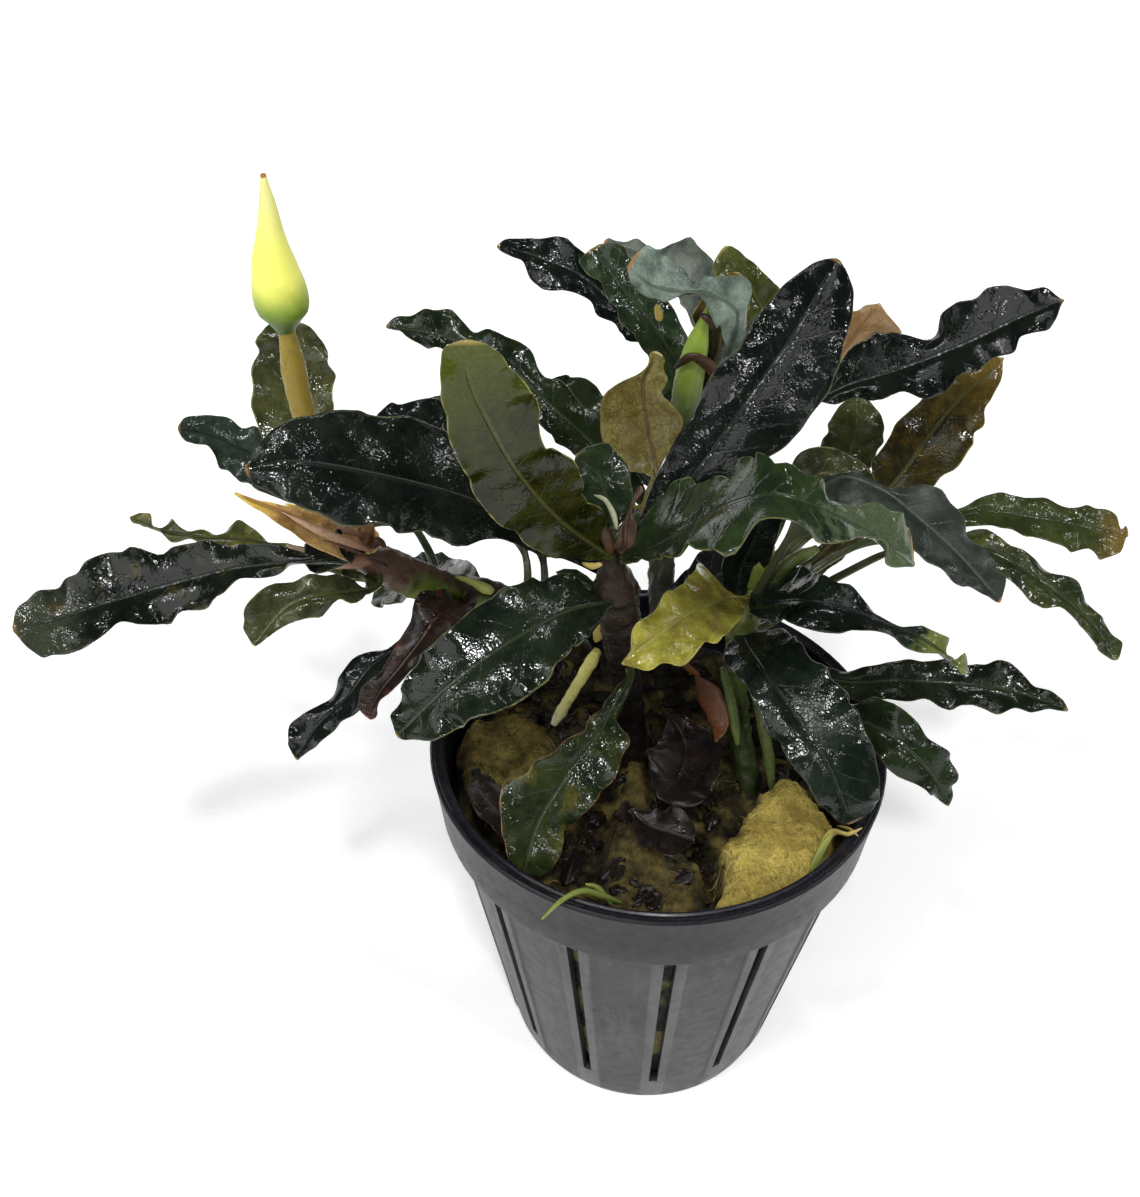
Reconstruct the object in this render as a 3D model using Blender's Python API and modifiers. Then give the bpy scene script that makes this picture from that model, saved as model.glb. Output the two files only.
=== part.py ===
"""A small bucephalandra in a slotted net pot, with rockwool packed round its roots.

Metres, +Z up. The origin is the centre of the pot's base, X runs to the viewer's right and Y runs
away from the viewer. Every leaf, shoot, sheath and flower is a closed solid of its own. Sizes below
are millimetres, and MM turns them into metres where a mesh is made.

The plant is placed through the view it was studied from: a point is written as the pixel where it
shows and its depth (Y), and seen() turns that into millimetres.
"""

import math
from collections import namedtuple

import bmesh
import bpy
from mathutils import Vector

MM = 0.001
GAP = 0.3  # clearance between pieces that touch

# Net pot
POT_HEIGHT = 48.0
RIM_RADIUS = 25.0
BAND_HEIGHT = 8.0
BAND_FOOT_RADIUS = 24.3
BAND_INNER_RADIUS = 22.7
BAND_STEP = 1.0
WALL_TOP_RADIUS = 23.0
BASE_RADIUS = 17.0
BASE_CHAMFER = 0.8
WALL_THICKNESS = 1.0
LIP_CHAMFER = 0.35
FLOOR_THICKNESS = 1.2
SLOT_COUNT = 14
SLOT_WIDTH_TOP = 1.3
SLOT_WIDTH_FOOT = 0.9
SLOT_TOP = 38.6
SLOT_FOOT = 6.0
FIRST_SLOT_DEGREES = -88.5
CUTTER_LENGTH = 60.0
POT_SEGMENTS = 42

# Rockwool chunks, packed in the pot
ROCKWOOL_TOP = 44.5
ROCKWOOL_LEVELS = [FLOOR_THICKNESS + GAP, 18.0, 35.0, 36.0, ROCKWOOL_TOP]
WELL_LEVEL = 3  # from this level up the chunks leave a well in the middle for the shoots
WELL_RADIUS = 5.0
CORE_RADIUS = 1.2
CHUNK_SHIFT = 0.55  # each chunk stands this far off its neighbours' corner
WALL_SLACK = 0.15
CROWN_RISE = 0.8  # a chunk's top is this much higher at the wall than at the well

# Camera that the leaf points below are read through
EYE = Vector((-9.57, -92.12, 144.06))
VIEW_TILT = math.radians(39.837)
FOCAL_PX = 1197.0
CENTRE_PX = (570.0, 598.5)

# Leaf make-up
STALK_RADIUS = 0.65
RIB_HALF_THICKNESS = 0.5
TIP_HALF_THICKNESS = 0.3
WAVE_LAG = 2.2  # the right edge's waves run this many radians ahead of the left edge's
RIB_STEPS = 120
STATIONS_PER_WAVE = 2.8
PLAIN_STATIONS = 7
SHOOT_STATIONS = 12
SHARP_EDGE_DEGREES = 40.0

TONES = {
    "pot": ((0.020, 0.022, 0.026), 0.32),
    "rockwool": ((0.46, 0.36, 0.13), 0.95),
    "stem": ((0.16, 0.085, 0.05), 0.5),
    "green_stem": ((0.22, 0.26, 0.06), 0.5),
    "sheath": ((0.42, 0.23, 0.16), 0.6),
    "root": ((0.62, 0.60, 0.36), 0.6),
    "peduncle": ((0.46, 0.32, 0.10), 0.5),
    "spathe": ((0.80, 0.86, 0.28), 0.45),
    "bud": ((0.36, 0.55, 0.08), 0.4),
    "black": ((0.012, 0.020, 0.016), 0.25),
    "green": ((0.035, 0.060, 0.030), 0.28),
    "olive": ((0.105, 0.110, 0.030), 0.3),
    "grey": ((0.10, 0.13, 0.12), 0.3),
    "tan": ((0.36, 0.26, 0.09), 0.5),
    "orange": ((0.55, 0.28, 0.10), 0.5),
    "yellow": ((0.34, 0.34, 0.06), 0.35),
    "dead": ((0.075, 0.030, 0.018), 0.3),
}


Shoot = namedtuple("Shoot", "tone points radii")
Leaf = namedtuple(
    "Leaf",
    "shoot tone width stalk rib face waves ripple fold belly",
    defaults=(5.0, 0.9, 12.0, 0.56),
)


def seen(px, py, depth):
    """The point at this depth (Y, mm) that shows at pixel (px, py) of the view."""
    right = Vector((1.0, 0.0, 0.0))
    forward = Vector((0.0, math.cos(VIEW_TILT), -math.sin(VIEW_TILT)))
    up = Vector((0.0, math.sin(VIEW_TILT), math.cos(VIEW_TILT)))
    across = (px - CENTRE_PX[0]) / FOCAL_PX
    upward = (CENTRE_PX[1] - py) / FOCAL_PX
    ray = forward + across * right + upward * up
    return EYE + ray * ((depth - EYE.y) / ray.y)


# Shoots: points as (pixel x, pixel y, depth), with radii spread evenly along them
SHOOTS = {
    "stem_main": Shoot(
        "stem",
        [
            (614, 530, 2), (612, 558, 0), (617, 600, 0), (622, 650, 1), (629, 700, 2),
            (634, 760, 1), (636, 800, 0),
        ],
        [0.6, 2.3, 2.0, 1.5, 1.6, 1.7, 1.5],
    ),
    "stem_left": Shoot(
        "green_stem",
        [(590, 655, 6), (560, 632, 5), (500, 602, 4), (440, 588, 3), (385, 566, 1), (335, 548, 0)],
        [1.3, 1.4, 1.8, 2.0, 1.9, 1.3],
    ),
    "stem_right": Shoot(
        "green_stem",
        [
            (760, 575, 8), (750, 605, 6), (740, 640, 5), (736, 680, 4), (738, 720, 2),
            (746, 765, -1), (752, 815, -4),
        ],
        [0.5, 1.5, 1.4, 1.3, 1.3, 1.2, 1.1],
    ),
    "stem_back": Shoot(
        "green_stem",
        [(672, 445, 26), (668, 475, 24), (664, 520, 21), (662, 570, 17), (662, 630, 12), (662, 688, 9)],
        [0.5, 1.6, 1.6, 1.5, 1.4, 1.4],
    ),
}

# Leaves: the shoot, the finish, the width, the share of the length that is stalk, the midrib as
# (pixel x, pixel y, depth) from foot to tip, and the ways the upper face looks along it. Then how
# many waves the edges make and how high, how far the halves fold up, and where the blade is widest.
LEAVES = {
    "leaf_far_left": Leaf(
        "stem_left", "black", 8.5, 0.08,
        [
            (350, 560, -3), (308, 562, -4), (240, 568, -3), (180, 582, -3), (120, 599, -4),
            (60, 618, -6), (13, 630, -8),
        ],
        [(0.1, -0.55, 0.8), (-0.1, -0.6, 0.8)], waves=5.5, ripple=1.0, belly=0.6,
    ),
    "leaf_left_hooked": Leaf(
        "stem_left", "black", 6.6, 0.35,
        [
            (438, 580, 5), (427, 548, 8), (400, 515, 13), (340, 490, 18), (290, 472, 21),
            (245, 450, 22), (210, 434, 22), (178, 428, 21),
        ],
        [(0.2, -0.5, 0.85)], waves=4.5,
    ),
    "leaf_left_upright": Leaf(
        "stem_left", "olive", 9.6, 0.25,
        [(372, 562, 4), (340, 510, 11), (308, 450, 17), (296, 390, 21), (294, 321, 24)],
        [(0.05, -0.9, 0.4)], waves=5.0, ripple=0.7, belly=0.5,
    ),
    "leaf_thin_left": Leaf(
        "stem_left", "green", 5.5, 0.2,
        [
            (388, 580, 5), (340, 562, 9), (290, 548, 13), (245, 540, 16), (205, 538, 18),
            (165, 532, 19), (130, 517, 20),
        ],
        [(0.05, -0.2, 1.0)], waves=4.0,
    ),
    "leaf_black_big": Leaf(
        "stem_main", "black", 11.0, 0.12,
        [
            (603, 572, 2), (540, 535, 0), (470, 500, -4), (380, 476, -8), (300, 463, -11),
            (244, 468, -12),
        ],
        [(0.05, -0.72, 0.69)], waves=5.0, ripple=0.8, fold=8.0, belly=0.6,
    ),
    "leaf_olive_big": Leaf(
        "stem_main", "olive", 10.0, 0.1,
        [
            (606, 553, -1), (560, 520, -6), (520, 475, -10), (490, 425, -12),
            (470, 380, -13), (466, 340, -13),
        ],
        [(0.05, -0.85, 0.5)], waves=5.0, ripple=0.8, fold=8.0,
    ),
    "leaf_olive_left_low": Leaf(
        "stem_left", "olive", 5.4, 0.12,
        [(378, 585, -2), (345, 592, -5), (315, 596, -7), (285, 608, -8), (254, 646, -10)],
        [(0.0, -0.6, 0.8)], waves=4.0, ripple=0.6,
    ),
    "leaf_dead_left": Leaf(
        "stem_left", "dead", 5.0, 0.08,
        [(465, 602, 1), (438, 616, -3), (420, 642, -5), (398, 670, -7), (382, 690, -8), (368, 718, -9)],
        [(-0.2, -0.5, 0.8)], waves=3.0, ripple=0.7, fold=20.0,
    ),
    "leaf_dark_left_low": Leaf(
        "stem_left", "black", 5.6, 0.1,
        [(455, 612, 4), (410, 640, 3), (372, 666, 1), (348, 697, -1), (318, 726, -3), (297, 760, -5)],
        [(-0.3, -0.35, 0.9)], waves=4.0, ripple=0.9,
    ),
    "leaf_big_lower_left": Leaf(
        "stem_main", "green", 11.0, 0.05,
        [(607, 602, -2), (565, 612, -5), (505, 645, -9), (450, 685, -12), (397, 736, -14)],
        [(-0.15, -0.6, 0.8)], waves=5.0, ripple=0.8, fold=8.0, belly=0.48,
    ),
    "leaf_pot_front": Leaf(
        "stem_main", "green", 8.6, 0.2,
        [
            (630, 675, -1), (616, 700, -4), (596, 738, -8), (562, 782, -12),
            (535, 828, -15), (522, 880, -18),
        ],
        [(0.25, -0.75, 0.6)], waves=4.5, ripple=0.7,
    ),
    "leaf_yellow_small": Leaf(
        "stem_right", "yellow", 8.6, 0.12,
        [(733, 597, 3), (718, 601, -1), (690, 613, -5), (655, 638, -8), (622, 664, -10)],
        [(-0.1, -0.55, 0.85)], waves=3.5, ripple=0.7,
    ),
    "leaf_dark_front_right": Leaf(
        "stem_right", "black", 9.6, 0.1,
        [(744, 642, 3), (763, 670, -4), (795, 715, -9), (826, 763, -13), (850, 824, -16)],
        [(-0.1, -0.6, 0.8)], waves=5.0, ripple=0.7, fold=8.0, belly=0.6,
    ),
    "leaf_right_mid": Leaf(
        "stem_right", "black", 6.6, 0.06,
        [(768, 602, 3), (805, 601, -2), (850, 611, -4), (885, 624, -6), (925, 641, -7), (967, 674, -8)],
        [(0.0, -0.6, 0.8), (-0.1, 0.0, 1.0)], waves=5.0, ripple=0.8, belly=0.42,
    ),
    "leaf_right_low_long": Leaf(
        "stem_right", "green", 6.6, 0.12,
        [
            (750, 645, 9), (800, 668, 8), (848, 682, 6), (900, 681, 5), (960, 684, 4),
            (1020, 693, 2), (1068, 711, 0),
        ],
        [(0.0, -0.5, 0.85)], waves=5.0, ripple=0.8,
    ),
    "leaf_right_low_short": Leaf(
        "stem_right", "green", 6.0, 0.35,
        [
            (746, 676, 5), (800, 698, 1), (850, 716, -3), (885, 732, -6), (912, 753, -8),
            (935, 780, -9), (948, 806, -10),
        ],
        [(0.0, -0.6, 0.8)], waves=4.0, ripple=0.7,
    ),
    "leaf_mid_right_green": Leaf(
        "stem_main", "green", 8.2, 0.08,
        [
            (632, 558, -1), (665, 541, -6), (700, 520, -10), (735, 502, -13),
            (768, 495, -15), (805, 502, -16), (855, 526, -15), (914, 562, -14),
        ],
        [(0.05, -0.6, 0.8), (0.1, -0.25, 1.0)], waves=6.0, ripple=0.7,
    ),
    "leaf_grey_right": Leaf(
        "stem_right", "grey", 8.2, 0.4,
        [
            (758, 592, 6), (795, 530, 2), (835, 480, -1), (880, 489, -3), (920, 519, -5),
            (960, 556, -7), (1000, 602, -9),
        ],
        [(0.0, -0.45, 0.9)], waves=4.0, ripple=0.8, belly=0.5,
    ),
    "leaf_curled_right": Leaf(
        "stem_right", "grey", 5.0, 0.4,
        [(757, 570, 7), (778, 530, 8), (795, 492, 6), (820, 474, 5), (846, 480, 5), (862, 500, 5)],
        [(-0.1, -0.6, 0.8)], waves=2.5, ripple=0.7,
    ),
    "leaf_black_diag": Leaf(
        "stem_main", "black", 11.6, 0.06,
        [(640, 545, 1), (696, 474, 3), (746, 404, 5), (795, 334, 7), (838, 259, 9)],
        [(0.0, -0.75, 0.65)], waves=5.0, ripple=0.5, fold=8.0, belly=0.62,
    ),
    "leaf_right_long_black": Leaf(
        "stem_back", "black", 9.0, 0.35,
        [
            (684, 512, 21), (740, 455, 20), (824, 396, 19), (900, 369, 18), (960, 346, 17),
            (1020, 318, 16), (1064, 300, 15),
        ],
        [(0.0, -0.6, 0.8)], waves=5.0, ripple=0.9, belly=0.66,
    ),
    "leaf_olive_brown_right": Leaf(
        "stem_right", "olive", 9.3, 0.2,
        [(784, 584, 13), (830, 545, 17), (892, 485, 20), (946, 415, 23), (1004, 358, 26)],
        [(0.05, -0.75, 0.65)], waves=4.5, ripple=0.7,
    ),
    "leaf_right_upright_small": Leaf(
        "stem_right", "olive", 8.3, 0.25,
        [(752, 580, 13), (795, 540, 20), (838, 485, 25), (856, 430, 28), (858, 388, 31)],
        [(0.0, -0.85, 0.5)], waves=4.0, ripple=0.6, belly=0.66,
    ),
    "leaf_orange_back": Leaf(
        "stem_back", "orange", 7.8, 0.35,
        [(690, 484, 25), (762, 420, 28.5), (830, 365, 31), (880, 303, 33)],
        [(0.0, -0.75, 0.65)], waves=3.0, ripple=0.5,
    ),
    "leaf_right_green_ragged": Leaf(
        "stem_right", "green", 6.1, 0.45,
        [
            (772, 622, 8), (808, 575, 10), (868, 541, 13), (930, 524, 15), (985, 512, 16),
            (1050, 520, 16), (1128, 536, 15),
        ],
        [(0.0, -0.5, 0.85)], waves=5.0, ripple=0.7,
    ),
    "leaf_right_droop": Leaf(
        "stem_right", "green", 5.3, 0.4,
        [
            (772, 614, 5), (838, 577, 5), (900, 549, 4), (965, 545, 2), (1028, 572, -1),
            (1085, 617, -4), (1118, 659, -6),
        ],
        [(0.1, -0.5, 0.85)], waves=6.0, ripple=0.8,
    ),
    "leaf_narrow_inner": Leaf(
        "stem_right", "black", 4.5, 0.1,
        [(735, 628, 6), (739, 575, 7), (757, 532, 6), (770, 492, 5)],
        [(0.1, -0.8, 0.6)], waves=2.0, ripple=0.3,
    ),
    "leaf_tan_center": Leaf(
        "stem_main", "tan", 9.0, 0.15,
        [(636, 532, 4), (656, 480, 9), (648, 430, 12), (643, 385, 14), (658, 352, 15)],
        [(0.0, -0.85, 0.5)], waves=3.0, ripple=0.5, belly=0.52,
    ),
    "leaf_top_left_long": Leaf(
        "stem_back", "black", 8.2, 0.1,
        [
            (660, 440, 27), (660, 395, 29), (642, 336, 31), (612, 302, 33), (578, 274, 34),
            (535, 256, 35), (497, 246, 35),
        ],
        [(-0.1, -0.6, 0.8)], waves=6.0, ripple=0.8,
    ),
    "leaf_top_olive": Leaf(
        "stem_back", "olive", 9.5, 0.1,
        [(672, 432, 24), (684, 385, 23), (652, 325, 25), (616, 280, 27), (596, 246, 29)],
        [(-0.1, -0.65, 0.75)], waves=4.0, ripple=0.6, belly=0.62,
    ),
    "leaf_top_folded": Leaf(
        "stem_back", "grey", 5.4, 0.25,
        [
            (696, 455, 22), (718, 380, 20), (737, 318, 18), (712, 296, 17), (680, 292, 17),
            (650, 285, 17), (628, 266, 17),
        ],
        [(0.1, -0.8, 0.5), (0.1, -0.5, 0.9)], waves=3.0, ripple=0.7,
    ),
    "leaf_curled_top": Leaf(
        "stem_back", "olive", 6.0, 0.2,
        [(690, 440, 27), (708, 390, 26), (720, 345, 25), (728, 305, 25), (738, 272, 26)],
        [(-0.4, -0.7, 0.4)], waves=3.0, ripple=0.6, fold=25.0,
    ),
    "leaf_back_grey": Leaf(
        "stem_back", "grey", 7.4, 0.1,
        [(672, 450, 30), (712, 350, 36.5), (700, 292, 38.5), (655, 262, 41), (604, 242, 42.5)],
        [(0.0, -0.5, 0.85)], waves=4.0, ripple=1.0,
    ),
    "leaf_back_olive": Leaf(
        "stem_back", "olive", 7.4, 0.2,
        [(692, 462, 29), (764, 350, 34.5), (754, 292, 36), (724, 247, 37)],
        [(0.0, -0.6, 0.8)], waves=4.0, ripple=0.8,
    ),
    "leaf_back_left_long": Leaf(
        "stem_back", "green", 7.4, 0.1,
        [
            (648, 512, 20), (600, 452, 22), (545, 400, 24), (505, 363, 26), (445, 337, 28),
            (386, 327, 29),
        ],
        [(-0.1, -0.6, 0.8)], waves=6.0, ripple=0.8,
    ),
    "leaf_back_left_short": Leaf(
        "stem_back", "green", 6.6, 0.15,
        [(652, 485, 25), (620, 450, 28), (585, 415, 31), (550, 380, 33)],
        [(-0.1, -0.6, 0.8)], waves=4.0, ripple=0.7,
    ),
    "leaf_teal_center": Leaf(
        "stem_main", "green", 6.0, 0.2,
        [(613, 535, 3), (607, 505, 3), (597, 475, 4), (576, 455, 4)],
        [(0.0, -0.6, 0.8)], waves=2.5, ripple=0.5,
    ),
    "leaf_back_dark_low": Leaf(
        "stem_back", "black", 7.4, 0.15,
        [(672, 590, 14), (700, 582, 15), (730, 572, 18), (768, 560, 21)],
        [(0.0, -0.5, 0.85)], waves=3.0, ripple=0.6,
    ),
    "leaf_back_left_tip": Leaf(
        "stem_left", "green", 6.6, 0.3,
        [(528, 588, 8), (522, 545, 12), (482, 470, 19), (430, 398, 25)],
        [(-0.1, -0.7, 0.7)], waves=4.0, ripple=0.6,
    ),
    "leaf_behind_black": Leaf(
        "stem_left", "black", 6.0, 0.25,
        [(545, 590, 8), (537, 540, 11), (490, 470, 13), (430, 430, 13), (375, 418, 12)],
        [(-0.1, -0.6, 0.8)], waves=4.0, ripple=0.6,
    ),
    "leaf_back_low_left": Leaf(
        "stem_left", "green", 6.2, 0.15,
        [(482, 592, 7), (460, 578, 12), (436, 575, 17), (405, 585, 20), (372, 600, 22)],
        [(0.0, -0.3, 0.95)], waves=3.0, ripple=0.5,
    ),
}

# Sheaths: folded papery scales on the shoots
SHEATHS = {
    "sheath_left_long": Leaf(
        "stem_left", "sheath", 3.4, 0.0,
        [(346, 541, -1), (312, 526, -3), (278, 511, -4), (234, 493, -4)],
        [(0.2, -0.6, 0.8)], waves=0.0, ripple=0.0, fold=30.0, belly=0.4,
    ),
    "sheath_left_short": Leaf(
        "stem_left", "sheath", 3.2, 0.0,
        [(372, 541, 0), (347, 525, 2), (315, 513, 2), (285, 504, 2)],
        [(0.2, -0.6, 0.8)], waves=0.0, ripple=0.0, fold=30.0, belly=0.4,
    ),
    "sheath_crown": Leaf(
        "stem_main", "sheath", 3.6, 0.0,
        [(624, 545, -3), (625, 525, -3), (632, 505, -2), (641, 486, -1)],
        [(0.1, -0.8, 0.5)], waves=0.0, ripple=0.0, fold=30.0, belly=0.4,
    ),
}

# Dead leaves that lie on the rockwool
DEAD_LEAVES = {
    "dead_leaf_center": Leaf(
        "", "dead", 8.0, 0.1,
        [(662, 715, 3), (676, 724, 1), (686, 747, -2), (678, 778, -7), (658, 798, -10)],
        [(0.0, -0.4, 0.9)], waves=3.0, ripple=0.6,
    ),
    "dead_leaf_front": Leaf(
        "", "dead", 5.5, 0.1,
        [(630, 810, -11), (650, 827, -13), (672, 834, -14), (694, 842, -15)],
        [(0.0, -0.2, 1.0)], waves=2.0, ripple=0.5,
    ),
    "dead_leaf_rim": Leaf(
        "", "dead", 5.0, 0.05,
        [(476, 772, -5), (488, 795, -9), (505, 815, -12), (522, 835, -14)],
        [(0.2, -0.2, 1.0)], waves=2.0, ripple=0.5,
    ),
}


def smooth_line(points, count):
    """count points at even steps along a smooth curve through these points."""
    ends = [points[0] * 2 - points[1]] + list(points) + [points[-1] * 2 - points[-2]]
    steps = 16
    dense = []
    for index in range(len(points) - 1):
        before, start, end, after = ends[index : index + 4]
        for step in range(steps):
            t = step / steps
            dense.append(
                0.5
                * (
                    2 * start
                    + (end - before) * t
                    + (2 * before - 5 * start + 4 * end - after) * t * t
                    + (3 * start - before - 3 * end + after) * t**3
                )
            )
    dense.append(points[-1].copy())
    lengths = [0.0]
    for first, second in zip(dense, dense[1:]):
        lengths.append(lengths[-1] + (second - first).length)
    line = []
    span = 0
    for index in range(count):
        wanted = lengths[-1] * index / (count - 1)
        while span < len(dense) - 2 and lengths[span + 1] < wanted:
            span += 1
        share = (wanted - lengths[span]) / (lengths[span + 1] - lengths[span])
        line.append(dense[span].lerp(dense[span + 1], share))
    return line


def between(values, t):
    """The value at share t of the way along a short list, by straight steps."""
    place = t * (len(values) - 1)
    index = min(int(place), len(values) - 2) if len(values) > 1 else 0
    if len(values) == 1:
        return values[0]
    return values[index] + (values[index + 1] - values[index]) * (place - index)


def off_shoot(point, shoot):
    """How far this point is outside a shoot's bark, and the nearest point of the shoot's middle."""
    axis = smooth_line([seen(*place) for place in shoot.points], SHOOT_STATIONS)
    nearest = []
    for index in range(len(axis) - 1):
        run = axis[index + 1] - axis[index]
        share = (point - axis[index]).dot(run) / run.length_squared
        share = min(max(share, 0.0), 1.0)
        radius = between(shoot.radii, (index + share) / (SHOOT_STATIONS - 1))
        middle = axis[index] + run * share
        nearest.append(((point - middle).length - radius, index, middle))
    distance, _, middle = min(nearest)
    return distance, middle


def rib_line(leaf):
    """A leaf's midrib, from just outside its shoot's bark to its tip."""
    points = [seen(*place) for place in leaf.rib]
    if not leaf.shoot:
        return smooth_line(points, RIB_STEPS)
    shoot = SHOOTS[leaf.shoot]
    points.insert(0, off_shoot(points[0], shoot)[1])
    line = smooth_line(points, RIB_STEPS)
    while off_shoot(line[0], shoot)[0] < GAP + STALK_RADIUS:
        line.pop(0)
    return line


def bell(t, belly):
    """A leaf's half-width along its blade, from 0 at the foot through 1 at the belly to 0."""
    if t <= 0.0 or t >= 1.0:
        return 0.0
    turn = math.log(0.5) / math.log(belly)
    wave = math.sin(math.pi * t**turn)
    return wave ** (0.9 if t < belly else 0.62)


def leaf_sections(leaf):
    """Rings of four points, left edge, upper rib, right edge and lower rib, from foot to tip."""
    count = PLAIN_STATIONS + int(leaf.waves * STATIONS_PER_WAVE)
    line = smooth_line(rib_line(leaf), count)
    faces = [Vector(face) for face in leaf.face]
    rings = []
    for index, rib in enumerate(line):
        t = index / (count - 1)
        ahead = line[min(index + 1, count - 1)] - line[max(index - 1, 0)]
        ahead.normalize()
        face = between(faces, t)
        face = (face - ahead * face.dot(ahead)).normalized()
        side = ahead.cross(face)
        blade = (t - leaf.stalk) / (1.0 - leaf.stalk)
        half = leaf.width / 2 * bell(blade, leaf.belly)
        end = 1.0 - max(0.0, (t - 0.9) / 0.1)
        thick = STALK_RADIUS + (RIB_HALF_THICKNESS - STALK_RADIUS) * min(max(blade * 4, 0.0), 1.0)
        thick = TIP_HALF_THICKNESS + (thick - TIP_HALF_THICKNESS) * end
        half = max(half, thick)
        frill = leaf.ripple * min(max(blade * 4, 0.0), 1.0) * min(1.0, (1.0 - t) * 6)
        lift = half * math.sin(math.radians(leaf.fold))
        flat = half * math.cos(math.radians(leaf.fold))
        turn = 2 * math.pi * leaf.waves * blade
        left = rib - side * flat + face * (lift + frill * math.sin(turn))
        right = rib + side * flat + face * (lift + frill * math.sin(turn + WAVE_LAG))
        rings.append((left, rib + face * thick, right, rib - face * thick))
    return rings


def new_object(name, mesh, tone):
    """Adds a mesh or curve to the plant's collection, with a material of its own."""
    colour, roughness = TONES[tone]
    material = bpy.data.materials.new(name + "_finish")
    material.use_nodes = True
    shader = material.node_tree.nodes["Principled BSDF"]
    shader.inputs["Base Color"].default_value = (*colour, 1.0)
    shader.inputs["Roughness"].default_value = roughness
    shader.inputs["Metallic"].default_value = 0.0
    material.diffuse_color = (*colour, 1.0)
    mesh.materials.append(material)
    piece = bpy.data.objects.new(name, mesh)
    PLANT.objects.link(piece)
    return piece


def loft(name, rings, tone):
    """A closed solid through rings of points, with a flat cap at each end."""
    shape = bmesh.new()
    rows = [[shape.verts.new(point * MM) for point in ring] for ring in rings]
    sides = len(rings[0])
    for lower, upper in zip(rows, rows[1:]):
        for index in range(sides):
            after = (index + 1) % sides
            face = (lower[index], lower[after], upper[after], upper[index])
            if index >= sides // 2:
                face = face[1:] + face[:1]  # the lower side's diagonals run under the upper side's
            shape.faces.new(face)
    shape.faces.new(reversed(rows[0]))
    shape.faces.new(rows[-1])
    bmesh.ops.triangulate(shape, faces=shape.faces, quad_method="FIXED")
    mesh = bpy.data.meshes.new(name)
    shape.to_mesh(mesh)
    shape.free()
    mesh.shade_smooth()
    mesh.set_sharp_from_angle(angle=math.radians(SHARP_EDGE_DEGREES))
    return new_object(name, mesh, tone)


def tube(name, points, radii, count, tone):
    """A round shoot or stalk that follows a smooth line through these points."""
    curve = bpy.data.curves.new(name, "CURVE")
    curve.dimensions = "3D"
    curve.bevel_depth = MM
    curve.bevel_resolution = 2
    curve.use_fill_caps = True
    line = smooth_line(points, count)
    spline = curve.splines.new("POLY")
    spline.points.add(count - 1)
    for index, place in enumerate(line):
        spline.points[index].co = (*(place * MM), 1.0)
        spline.points[index].radius = between(radii, index / (count - 1))
    return new_object(name, curve, tone)


def turned(name, profile, steps, tone):
    """A profile of (radius, height) points turned round Z, its outer side running down."""
    mesh = bpy.data.meshes.new(name)
    points = [(radius * MM, 0.0, height * MM) for radius, height in profile]
    edges = [(index, index + 1) for index in range(len(points) - 1)]
    mesh.from_pydata(points, edges, [])
    piece = new_object(name, mesh, tone)
    screw = piece.modifiers.new("turn", "SCREW")
    screw.axis = "Z"
    screw.steps = steps
    screw.render_steps = steps
    screw.use_merge_vertices = True
    screw.merge_threshold = 0.00001
    screw.use_smooth_shade = True
    return piece


def make_pot():
    """The net pot: a turned shell whose upright slots are cut by boxes across its whole width."""
    band_foot = POT_HEIGHT - BAND_HEIGHT
    profile = [
        (0.0, FLOOR_THICKNESS),
        (BASE_RADIUS - WALL_THICKNESS, FLOOR_THICKNESS),
        (WALL_TOP_RADIUS - WALL_THICKNESS, band_foot),
        (BAND_INNER_RADIUS, band_foot + BAND_STEP),
        (RIM_RADIUS - WALL_THICKNESS, POT_HEIGHT - LIP_CHAMFER),
        (RIM_RADIUS - WALL_THICKNESS + LIP_CHAMFER, POT_HEIGHT),
        (RIM_RADIUS - LIP_CHAMFER, POT_HEIGHT),
        (RIM_RADIUS, POT_HEIGHT - LIP_CHAMFER),
        (BAND_FOOT_RADIUS, band_foot),
        (WALL_TOP_RADIUS, band_foot),
        (BASE_RADIUS, BASE_CHAMFER),
        (BASE_RADIUS - BASE_CHAMFER, 0.0),
        (0.0, 0.0),
    ]
    pot = turned("pot", profile, POT_SEGMENTS, "pot")
    for index in range(SLOT_COUNT // 2):
        angle = FIRST_SLOT_DEGREES + index * 360.0 / SLOT_COUNT
        cut = pot.modifiers.new(f"slot_{index}", "BOOLEAN")
        cut.operation = "DIFFERENCE"
        cut.solver = "EXACT"
        cut.object = slot_cutter(index, angle)


def slot_cutter(index, angle):
    """A box across the pot, narrower at its foot, that cuts two opposite slots."""
    shape = bmesh.new()
    bmesh.ops.create_cube(shape, size=1.0)
    for vert in shape.verts:
        upper = vert.co.z > 0
        vert.co.x *= CUTTER_LENGTH
        vert.co.y *= SLOT_WIDTH_TOP if upper else SLOT_WIDTH_FOOT
        vert.co.z = SLOT_TOP if upper else SLOT_FOOT
        vert.co *= MM
    mesh = bpy.data.meshes.new(f"slot_cutter_{index}")
    shape.to_mesh(mesh)
    shape.free()
    cutter = bpy.data.objects.new(mesh.name, mesh)
    cutter.rotation_euler.z = math.radians(angle)
    cutter.hide_render = True
    cutter.display_type = "WIRE"
    CUTTERS.objects.link(cutter)
    return cutter


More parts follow.
